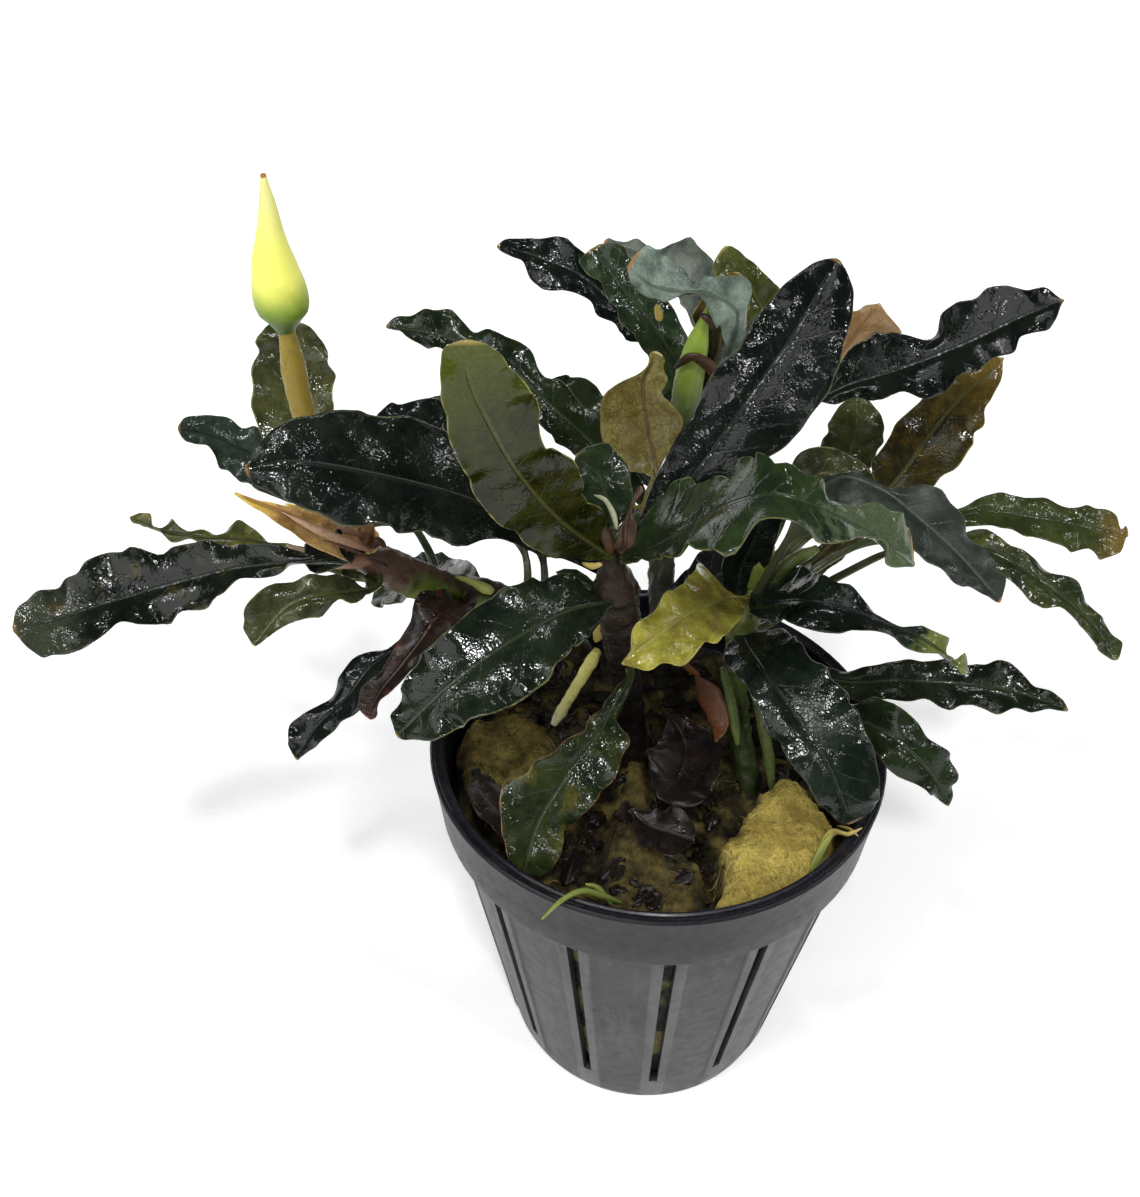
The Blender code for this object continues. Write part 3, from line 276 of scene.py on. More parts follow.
# Outlines of leaves and sheaths as the view shows them, as (pixel x, pixel y) all the way round. A
# leaf that has none takes its width from its table.
EDGES = {
    "leaf_far_left": [(307, 556), (278, 544), (252, 544), (222, 546), (211, 540), (183, 543), (168, 554),
        (160, 555), (144, 546), (130, 548), (119, 553), (108, 552), (86, 561), (80, 575), (64, 578),
        (58, 588), (42, 590), (28, 597), (15, 611), (12, 628), (25, 647), (42, 657), (67, 655), (89, 646),
        (103, 636), (111, 628), (125, 620), (139, 621), (153, 627), (172, 622), (185, 610), (202, 610),
        (213, 604), (222, 594), (236, 588), (244, 577), (261, 579), (278, 574), (296, 562)],
    "leaf_left_hooked": [(420, 530), (370, 490), (330, 466), (290, 446), (265, 432), (256, 426), (246, 429),
        (237, 424), (226, 417), (207, 414), (185, 417), (176, 424), (180, 436), (185, 442), (207, 445),
        (213, 454), (219, 466), (233, 476), (246, 484), (280, 500), (330, 512), (380, 530), (420, 560)],
    "leaf_left_upright": [(330, 520), (290, 470), (262, 440), (250, 402), (254, 386), (251, 368),
        (258, 352), (257, 335), (270, 322), (286, 318), (305, 322), (317, 333), (325, 345), (328, 360),
        (336, 375), (332, 390), (334, 405), (328, 450), (345, 500)],
    "leaf_thin_left": [(375, 570), (330, 552), (290, 543), (267, 543), (261, 534), (247, 525), (230, 529),
        (217, 534), (205, 530), (189, 533), (178, 523), (167, 517), (158, 519), (151, 515), (139, 513),
        (129, 519), (133, 523), (147, 525), (160, 529), (168, 540), (178, 542), (190, 537), (205, 546),
        (222, 551), (245, 552), (290, 562), (330, 572)],
    "leaf_black_big": [(600, 558), (560, 520), (520, 482), (480, 448), (448, 429), (437, 429), (420, 421),
        (405, 415), (387, 417), (368, 414), (352, 409), (322, 411), (293, 419), (270, 430), (255, 448),
        (247, 468), (250, 483), (270, 493), (297, 507), (316, 512), (330, 519), (345, 527), (358, 528),
        (373, 520), (385, 527), (400, 534), (420, 531), (432, 536), (445, 543), (463, 547), (483, 540),
        (500, 538), (517, 545), (540, 556), (567, 560), (595, 572)],
    "leaf_olive_big": [(600, 560), (570, 558), (547, 553), (527, 545), (513, 529), (500, 523), (488, 513),
        (473, 495), (469, 478), (459, 462), (449, 440), (447, 422), (442, 402), (439, 372), (442, 349),
        (454, 340), (470, 338), (487, 342), (500, 354), (510, 368), (524, 381), (534, 393), (540, 408),
        (537, 430), (543, 445), (557, 451), (572, 457), (579, 472), (579, 492), (588, 506), (598, 505),
        (604, 518), (608, 550)],
    "leaf_olive_left_low": [(374, 574), (356, 577), (338, 575), (319, 577), (307, 572), (296, 583),
        (285, 585), (278, 579), (263, 587), (249, 602), (244, 617), (246, 634), (255, 648), (266, 638),
        (281, 628), (298, 621), (315, 617), (326, 619), (331, 609), (332, 600), (344, 599), (354, 605),
        (361, 602), (362, 590), (374, 584)],
    "leaf_dead_left": [(430, 598), (411, 600), (413, 617), (404, 632), (393, 650), (381, 673), (363, 686),
        (359, 702), (365, 723), (374, 721), (381, 699), (400, 684), (419, 658), (444, 639), (467, 617),
        (481, 600)],
    "leaf_dark_left_low": [(440, 604), (415, 625), (387, 652), (371, 650), (356, 656), (344, 669),
        (337, 684), (331, 699), (319, 707), (304, 711), (291, 724), (289, 743), (296, 761), (304, 753),
        (315, 750), (322, 738), (334, 733), (341, 720), (357, 714), (372, 698), (395, 682), (430, 655)],
    "leaf_big_lower_left": [(598, 590), (578, 579), (559, 575), (541, 579), (519, 583), (497, 593),
        (478, 605), (462, 618), (444, 634), (426, 649), (409, 674), (400, 697), (393, 713), (396, 742),
        (410, 740), (437, 740), (456, 731), (476, 716), (501, 712), (526, 699), (543, 686), (555, 667),
        (570, 649), (591, 636), (606, 608)],
    "leaf_pot_front": [(622, 712), (614, 722), (601, 712), (590, 717), (582, 734), (562, 741), (551, 756),
        (533, 760), (527, 775), (507, 779), (497, 792), (502, 812), (501, 834), (510, 858), (523, 883),
        (548, 871), (563, 850), (564, 830), (581, 817), (601, 795), (617, 770), (626, 747), (627, 722)],
    "leaf_yellow_small": [(738, 596), (717, 587), (707, 572), (694, 570), (688, 577), (680, 588),
        (662, 595), (658, 608), (643, 618), (630, 632), (631, 652), (619, 664), (632, 667), (646, 671),
        (660, 665), (688, 663), (697, 648), (720, 641), (736, 624), (742, 610)],
    "leaf_dark_front_right": [(743, 634), (727, 640), (724, 662), (743, 683), (756, 700), (762, 727),
        (781, 744), (790, 765), (807, 783), (819, 806), (836, 820), (852, 825), (867, 818), (876, 803),
        (880, 776), (873, 748), (862, 722), (850, 699), (836, 680), (814, 660), (794, 638), (770, 622)],
    "leaf_right_mid": [(751, 600), (763, 584), (787, 574), (813, 573), (834, 580), (853, 584), (861, 598),
        (874, 613), (889, 625), (902, 629), (920, 624), (934, 633), (947, 639), (957, 650), (968, 662),
        (968, 674), (961, 674), (953, 658), (938, 652), (922, 654), (907, 648), (896, 639), (880, 629),
        (863, 633), (845, 631), (827, 635), (812, 632), (797, 623), (777, 623), (753, 618)],
    "leaf_right_low_long": [(760, 640), (800, 655), (843, 673), (863, 667), (887, 663), (907, 658),
        (923, 663), (943, 657), (963, 663), (980, 666), (997, 659), (1010, 663), (1023, 673), (1034, 687),
        (1050, 690), (1063, 700), (1070, 712), (1050, 709), (1030, 713), (1014, 707), (1000, 715),
        (984, 710), (970, 703), (953, 710), (937, 707), (922, 697), (903, 703), (885, 698), (864, 703),
        (820, 688), (770, 664)],
    "leaf_right_low_short": [(800, 690), (835, 701), (862, 704), (881, 699), (905, 710), (918, 722),
        (927, 738), (945, 747), (950, 762), (957, 768), (952, 784), (954, 795), (948, 806), (938, 800),
        (925, 790), (917, 784), (900, 780), (886, 768), (880, 757), (868, 747), (858, 730), (830, 716),
        (795, 703)],
    "leaf_mid_right_green": [(630, 542), (650, 520), (673, 498), (690, 487), (713, 483), (733, 477),
        (743, 464), (768, 459), (800, 469), (817, 480), (827, 496), (850, 506), (872, 503), (890, 516),
        (910, 533), (923, 546), (923, 560), (912, 568), (899, 566), (887, 555), (873, 540), (857, 537),
        (836, 544), (817, 543), (803, 532), (793, 522), (780, 516), (764, 519), (753, 533), (742, 544),
        (727, 551), (710, 552), (692, 548), (680, 558), (663, 560), (630, 562)],
    "leaf_grey_right": [(800, 500), (815, 478), (837, 474), (855, 471), (877, 483), (897, 493), (913, 485),
        (928, 480), (938, 491), (953, 503), (963, 517), (967, 537), (983, 548), (992, 558), (994, 568),
        (1005, 577), (1004, 590), (998, 604), (988, 595), (970, 588), (953, 583), (943, 570), (924, 560),
        (908, 548), (893, 530), (872, 514), (845, 506), (830, 512), (810, 540)],
    "leaf_black_diag": [(640, 520), (650, 490), (663, 463), (677, 436), (693, 415), (702, 392), (712, 373),
        (722, 360), (737, 350), (748, 332), (755, 316), (767, 305), (780, 288), (797, 274), (814, 262),
        (832, 257), (845, 266), (854, 290), (853, 315), (844, 343), (838, 371), (828, 394), (813, 412),
        (801, 430), (786, 447), (740, 474), (700, 498), (655, 530)],
    "leaf_right_long_black": [(760, 428), (800, 405), (822, 399), (835, 372), (851, 348), (870, 336),
        (893, 330), (908, 336), (922, 341), (939, 332), (939, 317), (955, 303), (978, 298), (986, 288),
        (1008, 284), (1028, 291), (1046, 286), (1062, 300), (1058, 317), (1047, 330), (1021, 336),
        (1016, 352), (990, 359), (978, 373), (958, 373), (947, 394), (928, 400), (911, 392), (889, 394),
        (878, 403), (857, 397), (835, 405), (815, 410), (775, 440)],
    "leaf_olive_brown_right": [(830, 535), (862, 500), (873, 480), (870, 462), (886, 444), (893, 427),
        (907, 413), (922, 398), (945, 382), (975, 366), (1000, 355), (1003, 366), (1001, 380), (994, 394),
        (986, 405), (985, 422), (973, 438), (968, 452), (960, 467), (944, 473), (936, 485), (905, 508),
        (868, 535), (842, 560)],
    "leaf_right_upright_small": [(800, 525), (822, 480), (817, 455), (827, 430), (833, 413), (847, 400),
        (858, 398), (870, 400), (878, 411), (886, 430), (880, 447), (874, 462), (852, 492), (820, 530)],
    "leaf_orange_back": [(800, 372), (835, 335), (846, 322), (850, 310), (857, 312), (866, 304), (875, 305),
        (882, 311), (890, 314), (893, 321), (902, 323), (903, 333), (888, 344), (862, 362), (820, 395)],
    "leaf_right_green_ragged": [(930, 520), (950, 510), (965, 508), (980, 496), (1000, 492), (1020, 498),
        (1040, 497), (1057, 503), (1070, 508), (1090, 505), (1110, 513), (1126, 518), (1118, 527),
        (1126, 538), (1133, 553), (1120, 552), (1108, 560), (1097, 557), (1083, 548), (1070, 552),
        (1056, 545), (1040, 538), (1024, 537), (1010, 530), (990, 526), (965, 526), (940, 535)],
    "leaf_right_droop": [(930, 545), (955, 537), (973, 530), (990, 528), (1000, 537), (1007, 547),
        (1023, 547), (1037, 560), (1043, 573), (1063, 573), (1079, 583), (1086, 603), (1103, 617),
        (1109, 633), (1122, 641), (1118, 664), (1101, 653), (1090, 637), (1074, 618), (1058, 604),
        (1046, 610), (1033, 606), (1023, 590), (1006, 580), (990, 566), (970, 558), (935, 556)],
    "leaf_tan_center": [(640, 505), (630, 488), (614, 476), (608, 458), (601, 438), (600, 412), (601, 398),
        (606, 390), (613, 389), (620, 381), (636, 376), (648, 366), (650, 350), (658, 351), (668, 358),
        (662, 368), (669, 378), (665, 387), (660, 393), (672, 404), (685, 420), (677, 438), (659, 468),
        (645, 490), (642, 508)],
    "leaf_top_left_long": [(662, 420), (652, 370), (640, 330), (625, 300), (605, 275), (590, 258),
        (577, 247), (568, 239), (557, 235), (537, 240), (517, 237), (503, 240), (495, 248), (510, 255),
        (523, 262), (529, 278), (543, 291), (560, 290), (578, 293), (592, 303), (597, 316), (610, 321),
        (620, 329), (626, 344), (638, 352), (650, 358), (654, 380), (656, 410)],
    "leaf_top_olive": [(690, 410), (700, 370), (688, 338), (672, 306), (648, 276), (630, 256), (622, 245),
        (604, 242), (590, 244), (577, 247), (577, 258), (583, 272), (600, 280), (605, 295), (617, 308),
        (618, 321), (633, 333), (641, 348), (655, 362), (664, 400)],
    "leaf_top_folded": [(745, 345), (748, 315), (745, 285), (733, 273), (712, 277), (690, 271), (671, 263),
        (657, 251), (645, 242), (633, 249), (625, 256), (628, 272), (631, 285), (650, 298), (664, 303),
        (682, 293), (698, 292), (706, 305), (718, 322), (730, 345)],
    "leaf_back_grey": [(735, 350), (728, 300), (716, 270), (707, 252), (700, 246), (692, 238), (683, 243),
        (672, 242), (661, 250), (648, 248), (637, 237), (625, 243), (612, 240), (603, 232), (602, 243),
        (622, 262), (650, 282), (680, 300), (700, 340)],
    "leaf_back_olive": [(735, 400), (742, 350), (732, 318), (720, 290), (712, 266), (714, 251), (720, 244),
        (730, 245), (738, 249), (746, 258), (754, 262), (762, 272), (771, 278), (780, 288), (787, 310),
        (788, 340), (770, 370), (730, 430)],
    "leaf_back_left_long": [(640, 478), (618, 440), (600, 412), (580, 405), (571, 389), (558, 378),
        (547, 380), (537, 368), (534, 353), (523, 342), (510, 340), (500, 332), (487, 330), (473, 332),
        (463, 321), (453, 311), (440, 309), (427, 310), (413, 315), (395, 317), (383, 327), (400, 329),
        (413, 342), (428, 348), (443, 349), (465, 364), (490, 380), (515, 402), (540, 424), (556, 442),
        (577, 456), (610, 480), (640, 505)],
    "sheath_left_long": [(352, 527), (330, 517), (305, 509), (283, 505), (262, 501), (245, 496), (232, 492),
        (243, 500), (262, 513), (285, 529), (312, 548), (342, 561)],
    "sheath_left_short": [(378, 530), (352, 523), (330, 514), (308, 508), (286, 503), (296, 513),
        (316, 527), (340, 543), (366, 555)],
    "sheath_crown": [(612, 552), (618, 536), (628, 516), (638, 499), (647, 487), (643, 505), (640, 521),
        (633, 539), (624, 552)],
}


def smooth_line(points, count, crowd=0.0):
    """count points along a smooth curve through these points, closer at its ends where crowded."""
    ends = [points[0] * 2 - points[1]] + list(points) + [points[-1] * 2 - points[-2]]
    steps = 24
    dense = []
    for index in range(len(points) - 1):
        before, start, end, after = ends[index : index + 4]
        for step in range(steps):
            t = step / steps
            dense.append(
                0.5
                * (
                    2 * start
                    + (end - before) * t
                    + (2 * before - 5 * start + 4 * end - after) * t * t
                    + (3 * start - before - 3 * end + after) * t**3
                )
            )
    dense.append(points[-1].copy())
    lengths = [0.0]
    for first, second in zip(dense, dense[1:]):
        lengths.append(lengths[-1] + (second - first).length)
    line = []
    span = 0
    for index in range(count):
        t = index / (count - 1)
        wanted = lengths[-1] * (t - crowd * math.sin(2 * math.pi * t) / (2 * math.pi))
        while span < len(dense) - 2 and lengths[span + 1] < wanted:
            span += 1
        share = (wanted - lengths[span]) / (lengths[span + 1] - lengths[span])
        line.append(dense[span].lerp(dense[span + 1], share))
    return line


def between(values, t):
    """The value at share t of the way along a short list, by straight steps."""
    if len(values) == 1:
        return values[0]
    place = min(max(t, 0.0), 1.0) * (len(values) - 1)
    index = min(int(place), len(values) - 2)
    return values[index] + (values[index + 1] - values[index]) * (place - index)


def ramp(value, low, high):
    """0 below low, 1 above high, and an even rise between them, for a number or an array."""
    return np.clip((value - low) / (high - low), 0.0, 1.0)


def soften(values, width):
    """An array smoothed by a bell of this width, in stations."""
    reach = max(int(3 * width), 1)
    weights = np.exp(-0.5 * (np.arange(-reach, reach + 1) / width) ** 2)
    padded = np.pad(values, reach, mode="edge")
    return np.convolve(padded, weights / weights.sum(), mode="valid")


def nearest_on_shoot(point, shoot):
    """The nearest point on a shoot's middle line."""
    axis = smooth_line([seen(*place) for place in shoot.points], 40)
    return min(axis, key=lambda place: (place - point).length)


def bell(t, belly):
    """A leaf's half-width along its blade, from 0 at the foot through 1 at the belly to 0."""
    if t <= 0.0 or t >= 1.0:
        return 0.0
    turn = math.log(0.5) / math.log(belly)
    wave = math.sin(math.pi * t**turn)
    return wave ** (0.9 if t < belly else 0.62)


def new_mesh(name, points, faces, attributes=None):
    """A mesh object from points in mm, with per-point vector attributes."""
    mesh = bpy.data.meshes.new(name)
    mesh.from_pydata([tuple(c * MM for c in point) for point in points], [], faces)
    for key, values in (attributes or {}).items():
        layer = mesh.attributes.new(key, "FLOAT_VECTOR", "POINT")
        layer.data.foreach_set("vector", np.array(values, np.float32).ravel())
    mesh.shade_smooth()
    mesh.update()
    piece = bpy.data.objects.new(name, mesh)
    bpy.context.scene.collection.objects.link(piece)
    return piece


def loft_faces(rings, sides):
    """Quads between rings of points, and a cap at each end."""
    faces = []
    for ring in range(rings - 1):
        low = ring * sides
        high = low + sides
        for index in range(sides):
            after = (index + 1) % sides
            faces.append((low + index, low + after, high + after, high + index))
    faces.append(tuple(reversed(range(sides))))
    last = (rings - 1) * sides
    faces.append(tuple(range(last, last + sides)))
    return faces


def leaf_frames(leaf):
    """Stations along a leaf's midrib: place, way the face looks and way to its side."""
    points = [seen(*place) for place in leaf.rib]
    if leaf.shoot:
        points.insert(0, nearest_on_shoot(points[0], SHOOTS[leaf.shoot]))
    length = sum((b - a).length for a, b in zip(points, points[1:]))
    count = max(int(length / STEP_ALONG), 30)
    line = smooth_line(points, count, 0.4)
    faces = [Vector(face) for face in leaf.face]
    frames = []
    for index, place in enumerate(line):
        ahead = line[min(index + 1, count - 1)] - line[max(index - 1, 0)]
        ahead.normalize()
        face = between(faces, index / (count - 1))
        face = (face - ahead * face.dot(ahead)).normalized()
        frames.append((place, face, ahead.cross(face)))
    return frames


def to_outline(place, way, outline):
    """How far across a leaf its outline shows from this place, and the pixels that 1 mm covers there."""
    start = shown(place)
    guess = 4.0
    for _ in range(2):
        run = (shown(place + way * guess) - start) / guess
        found = []
        for first, second in zip(outline, outline[1:]):
            side = second - first
            cross = run.x * side.y - run.y * side.x
            gap = first - start
            if abs(cross) < 1e-9:
                continue
            along = (gap.x * side.y - gap.y * side.x) / cross
            share = (gap.x * run.y - gap.y * run.x) / cross
            if 0.0 <= share <= 1.0 and along > 0.02:
                found.append(along)
        if not found:
            return None, run
        guess = min(found)
    return guess, run


def margin(leaf, frames, outline, hand, phase, rng):
    """One margin's half-width and lift at each station, so that it shows where the outline is."""
    count = len(frames)
    t = np.arange(count) / (count - 1)
    blade = (t - leaf.stalk) / (1.0 - leaf.stalk)
    grown = ramp(blade, 0.0, 0.22)
    near_tip = ramp(1.0 - t, 0.01, 0.10)
    turn = 2 * math.pi * leaf.waves * blade + phase
    slow = 0.9 * np.sin(turn * 0.37 + rng.uniform(0, 6))
    turn = turn + slow + 0.5 * np.sin(turn * 0.83 + rng.uniform(0, 6))
    swing = np.sin(turn) + 0.3 * np.sin(1.9 * turn + rng.uniform(0, 6))
    if not outline:
        half = np.array([leaf.width / 2 * bell(b, leaf.belly) for b in blade])
        half = half * (1.0 + 0.05 * np.sin(turn + 1.2) * grown)
        ripple = leaf.ripple * 0.9 * grown * near_tip * swing
        return half, ripple + half * math.sin(math.radians(leaf.fold))
    reach = np.full(count, np.nan)
    scale = np.ones(count)
    tilt = np.zeros(count)
    limit = leaf.width * 0.8 + 1.5
    for index, (place, face, side) in enumerate(frames):
        found, run = to_outline(place, side * hand, outline)
        scale[index] = max(run.length, 1.5)
        tilt[index] = (shown(place + face) - shown(place)).dot(run) / max(run.length, 1e-6)
        if found is not None and found < limit and blade[index] > -0.1:
            reach[index] = found
    known = np.flatnonzero(~np.isnan(reach))
    reach = np.interp(np.arange(count), [0, *known, count - 1], [0.0, *reach[known], 0.0])
    reach = soften(reach, OUTLINE_SOFT)
    trend = soften(reach, TREND_SOFT)
    lift = (reach - trend) * scale * tilt / (tilt**2 + 14.0)
    lift = soften(np.clip(lift * LIFT_GAIN, -GREATEST_LIFT, GREATEST_LIFT), 1.0) * near_tip
    lift = lift + leaf.ripple * 0.55 * grown * near_tip * swing
    slope = math.sin(math.radians(leaf.fold)) - MARGIN_CURL
    half = reach
    for _ in range(3):
        half = np.clip((reach * scale - tilt * (lift + slope * half)) / scale, 0.0, limit)
    return half * ramp(blade, -0.12, 0.03), lift + slope * half


def blade_shape(leaf, name, seed):
    """A leaf's points, faces and attributes: a thin closed blade, its midrib below, and its stalk."""
    frames = leaf_frames(leaf)
    count = len(frames)
    rng = random.Random(seed)
    outline = [Vector(pixel) for pixel in EDGES.get(name, ())]
    margins = [margin(leaf, frames, outline, hand, 2.2 * (hand > 0), rng) for hand in (-1, 1)]
    t = (np.arange(count) / (count - 1))[:, None]
    blade = (t - leaf.stalk) / (1.0 - leaf.stalk)
    grown = ramp(blade, 0.0, 0.2)
    near_tip = ramp(1.0 - t, 0.0, 0.08)
    turns = np.pi * np.arange(2 * POINTS_ACROSS) / POINTS_ACROSS
    u = -np.cos(turns)[None, :]
    top = (turns < np.pi)[None, :]
    left = u < 0
    half, lift = (np.where(left, one[:, None], other[:, None]) for one, other in zip(*margins))
    stem = STALK_RADIUS * (1.0 - 0.35 * ramp(t, 0.0, leaf.stalk + 0.1))
    tip_radius = 0.05 + 0.1 * ramp(1.0 - t, 0.0, 0.01)
    wide = np.maximum(np.hypot(half, stem * (1.0 - grown)), tip_radius)
    reach = np.abs(u)
    soft = grown * near_tip
    run = np.cumsum([0.0] + [(b[0] - a[0]).length for a, b in zip(frames, frames[1:])])[:, None]
    turn = 2 * math.pi * run / FRILL_PITCH
    turn = turn + 0.9 * np.sin(0.29 * turn + rng.uniform(0, 6)) + np.where(left, 0.0, 2.1)
    swell = SMOOTH_MARGINS.get(name, 1.0) * soft * (0.65 + 0.45 * np.sin(0.17 * turn + rng.uniform(0, 6)))
    wide = wide * (1.0 + FRILL_SHARE * swell * (np.sin(turn) + 0.4 * np.sin(1.7 * turn)))
    x = u * wide
    along = np.broadcast_to(run, x.shape)
    frill = FRILL_LIFT * min(leaf.width / 10.0, 1.0) * swell * np.cos(turn)
    height = lift * reach**2.3 + frill * reach**5
    height = height + 0.14 * soft * np.sin(np.pi * np.minimum(reach * 1.15, 1.0))
    for size, pitch in ((0.07, 0.9), (0.05, 1.7), (0.035, 3.1)):
        way = rng.uniform(-0.9, 0.9)
        hills = np.sin(pitch * (along + way * np.abs(x)) + rng.uniform(0, 6))
        hills = hills * np.cos(pitch * 0.8 * x + rng.uniform(0, 6))
        height = height + size * soft * hills * reach * (1.2 - reach) * 3
    rim = np.sqrt(np.maximum(1.0 - u * u, 0.0))
    thick = BLADE_HALF_THICK * np.minimum(rim * 3.0, 1.0) * grown + stem * (1.0 - grown) * rim
    thick = np.minimum(thick, tip_radius + 8.0 * (1.0 - t))
    rib = np.exp(-((x / 0.4) ** 2)) * (1.0 - 0.6 * t) * soft
    height = height + np.where(top, thick - 0.2 * rib, -thick - 0.4 * rib)
    place, face, side = (np.array([tuple(item[part]) for item in frames])[:, None, :] for part in range(3))
    points = place + side * x[..., None] + face * height[..., None]
    ones = np.ones_like(x)
    blade_at = np.stack([u * ones, blade * ones, np.where(top, 1.0, -1.0) * ones], -1)
    reach_at = np.stack([x, along, seed * ones], -1)
    faces = loft_faces(count, 2 * POINTS_ACROSS)
    return points.reshape(-1, 3), faces, blade_at.reshape(-1, 3), reach_at.reshape(-1, 3)


class Graph:
    """A material's node tree, with short calls for the nodes that the finishes share."""

    def __init__(self, name):
        self.material = bpy.data.materials.new(name)
        self.material.use_nodes = True
        self.tree = self.material.node_tree
        self.shader = self.tree.nodes["Principled BSDF"]

    def put(self, socket, value):
        """Links an output, or sets a plain value."""
        if isinstance(value, bpy.types.NodeSocket):
            self.tree.links.new(value, socket)
        else:
            plain = isinstance(value, tuple) and len(value) == 3 and socket.type == "RGBA"
            socket.default_value = (*value, 1.0) if plain else value

    def node(self, kind, **settings):
        node = self.tree.nodes.new(kind)
        for key, value in settings.items():
            setattr(node, key, value)
        return node

    def attribute(self, name):
        """The three parts of a vector attribute."""
        source = self.node("ShaderNodeAttribute", attribute_name=name)
        parts = self.node("ShaderNodeSeparateXYZ")
        self.put(parts.inputs[0], source.outputs["Vector"])
        return parts.outputs

    def vector(self, operation, first, second=None, socket=1):
        node = self.node("ShaderNodeVectorMath", operation=operation)
        self.put(node.inputs[0], first)
        if second is not None:
            self.put(node.inputs[socket], second)
        return node.outputs[0]

    def place(self, seed=None):
        """Object coordinates in mm, moved by a seed so that no two leaves share a pattern."""
        source = self.node("ShaderNodeTexCoord").outputs["Object"]
        place = self.vector("SCALE", source, 1.0 / MM, "Scale")
        return place if seed is None else self.vector("ADD", place, seed)

    def math(self, operation, first, second=0.0):
        node = self.node("ShaderNodeMath", operation=operation)
        self.put(node.inputs[0], first)
        self.put(node.inputs[1], second)
        return node.outputs[0]

    def plus(self, first, second):
        return self.math("ADD", first, second)

    def minus(self, first, second):
        return self.math("SUBTRACT", first, second)

    def times(self, first, second):
        return self.math("MULTIPLY", first, second)

    def rise(self, value, low, high, start=0.0, end=1.0):
        """start below low, end above high, with a soft rise between."""
        node = self.node("ShaderNodeMapRange", interpolation_type="SMOOTHSTEP")
        for index, item in enumerate((value, low, high, start, end)):
            self.put(node.inputs[index], item)
        return node.outputs[0]

    def noise(self, scale, detail=2.0, place=None, rough=0.5, twist=0.0):
        node = self.node("ShaderNodeTexNoise")
        self.put(node.inputs["Vector"], place)
        self.put(node.inputs["Scale"], scale)
        self.put(node.inputs["Detail"], detail)
        self.put(node.inputs["Roughness"], rough)
        self.put(node.inputs["Distortion"], twist)
        return node.outputs["Fac"]

    def cells(self, scale, place, feature, output="Distance"):
        node = self.node("ShaderNodeTexVoronoi", feature=feature)
        self.put(node.inputs["Vector"], place)
        self.put(node.inputs["Scale"], scale)
        return node.outputs[output]

    def facets(self, normal, scale, place, amount):
        """Leans a normal at random from cell to cell, so that single small cells catch a lamp."""
        lean = self.vector("SUBTRACT", self.cells(scale, place, "F1", "Color"), (0.5, 0.5, 0.5))
        leaning = self.vector("ADD", self.vector("SCALE", lean, amount, "Scale"), normal)
        return self.vector("NORMALIZE", leaning)

    def mix(self, factor, first, second):
        node = self.node("ShaderNodeMix", data_type="RGBA")
        self.put(node.inputs[0], factor)
        self.put(node.inputs[6], first)
        self.put(node.inputs[7], second)
        return node.outputs[2]

    def bump(self, height, distance):
        """A normal bent by a height; the distance is in mm."""
        node = self.node("ShaderNodeBump")
        self.put(node.inputs["Strength"], 1.0)
        self.put(node.inputs["Distance"], distance * MM)
        self.put(node.inputs["Height"], height)
        return node.outputs[0]

    def finish(self, colour, roughness, normal, **sockets):
        self.put(self.shader.inputs["Base Color"], colour)
        self.put(self.shader.inputs["Roughness"], roughness)
        self.put(self.shader.inputs["Normal"], normal)
        for key, value in sockets.items():
            self.shader.inputs[key.replace("_", " ")].default_value = value
        return self.material


Skin = namedtuple(
    "Skin",
    "dark light rib rim tip back rough sparkle net vein glow far far_at blotch blotches",
    defaults=((0.07, 0.15), 1.0, 0.0, 0.35, 0.0, None, (0.5, 0.7), (0.1, 0.05, 0.012), 0.0),
)

BLACK = Skin(
    (0.0030, 0.0055, 0.0042), (0.0100, 0.0150, 0.0105), (0.020, 0.028, 0.020), (0.080, 0.088, 0.040),
    (0.14, 0.09, 0.02), (0.03, 0.045, 0.02),
)
GREEN = Skin(
    (0.0080, 0.0150, 0.0075), (0.0260, 0.0400, 0.0150), (0.040, 0.055, 0.025), (0.15, 0.16, 0.05),
    (0.20, 0.15, 0.04), (0.045, 0.06, 0.022), sparkle=0.7,
)
OLIVE = Skin(
    (0.0240, 0.0290, 0.0060), (0.0700, 0.0800, 0.0150), (0.095, 0.100, 0.028), (0.30, 0.28, 0.09),
    (0.28, 0.22, 0.06), (0.085, 0.095, 0.02), sparkle=0.6, glow=0.15,
)
GREY = Skin(
    (0.0160, 0.0230, 0.0170), (0.0480, 0.0620, 0.0480), (0.075, 0.085, 0.065), (0.16, 0.17, 0.11),
    (0.35, 0.14, 0.04), (0.06, 0.065, 0.03), rough=(0.26, 0.40), sparkle=0.3,
)
TAN = Skin(
    (0.085, 0.062, 0.017), (0.185, 0.150, 0.048), (0.07, 0.033, 0.010), (0.16, 0.085, 0.022),
    (0.50, 0.40, 0.18), (0.2, 0.16, 0.05), rough=(0.26, 0.40), sparkle=0.25, net=0.7, vein=0.6, glow=0.25,
)

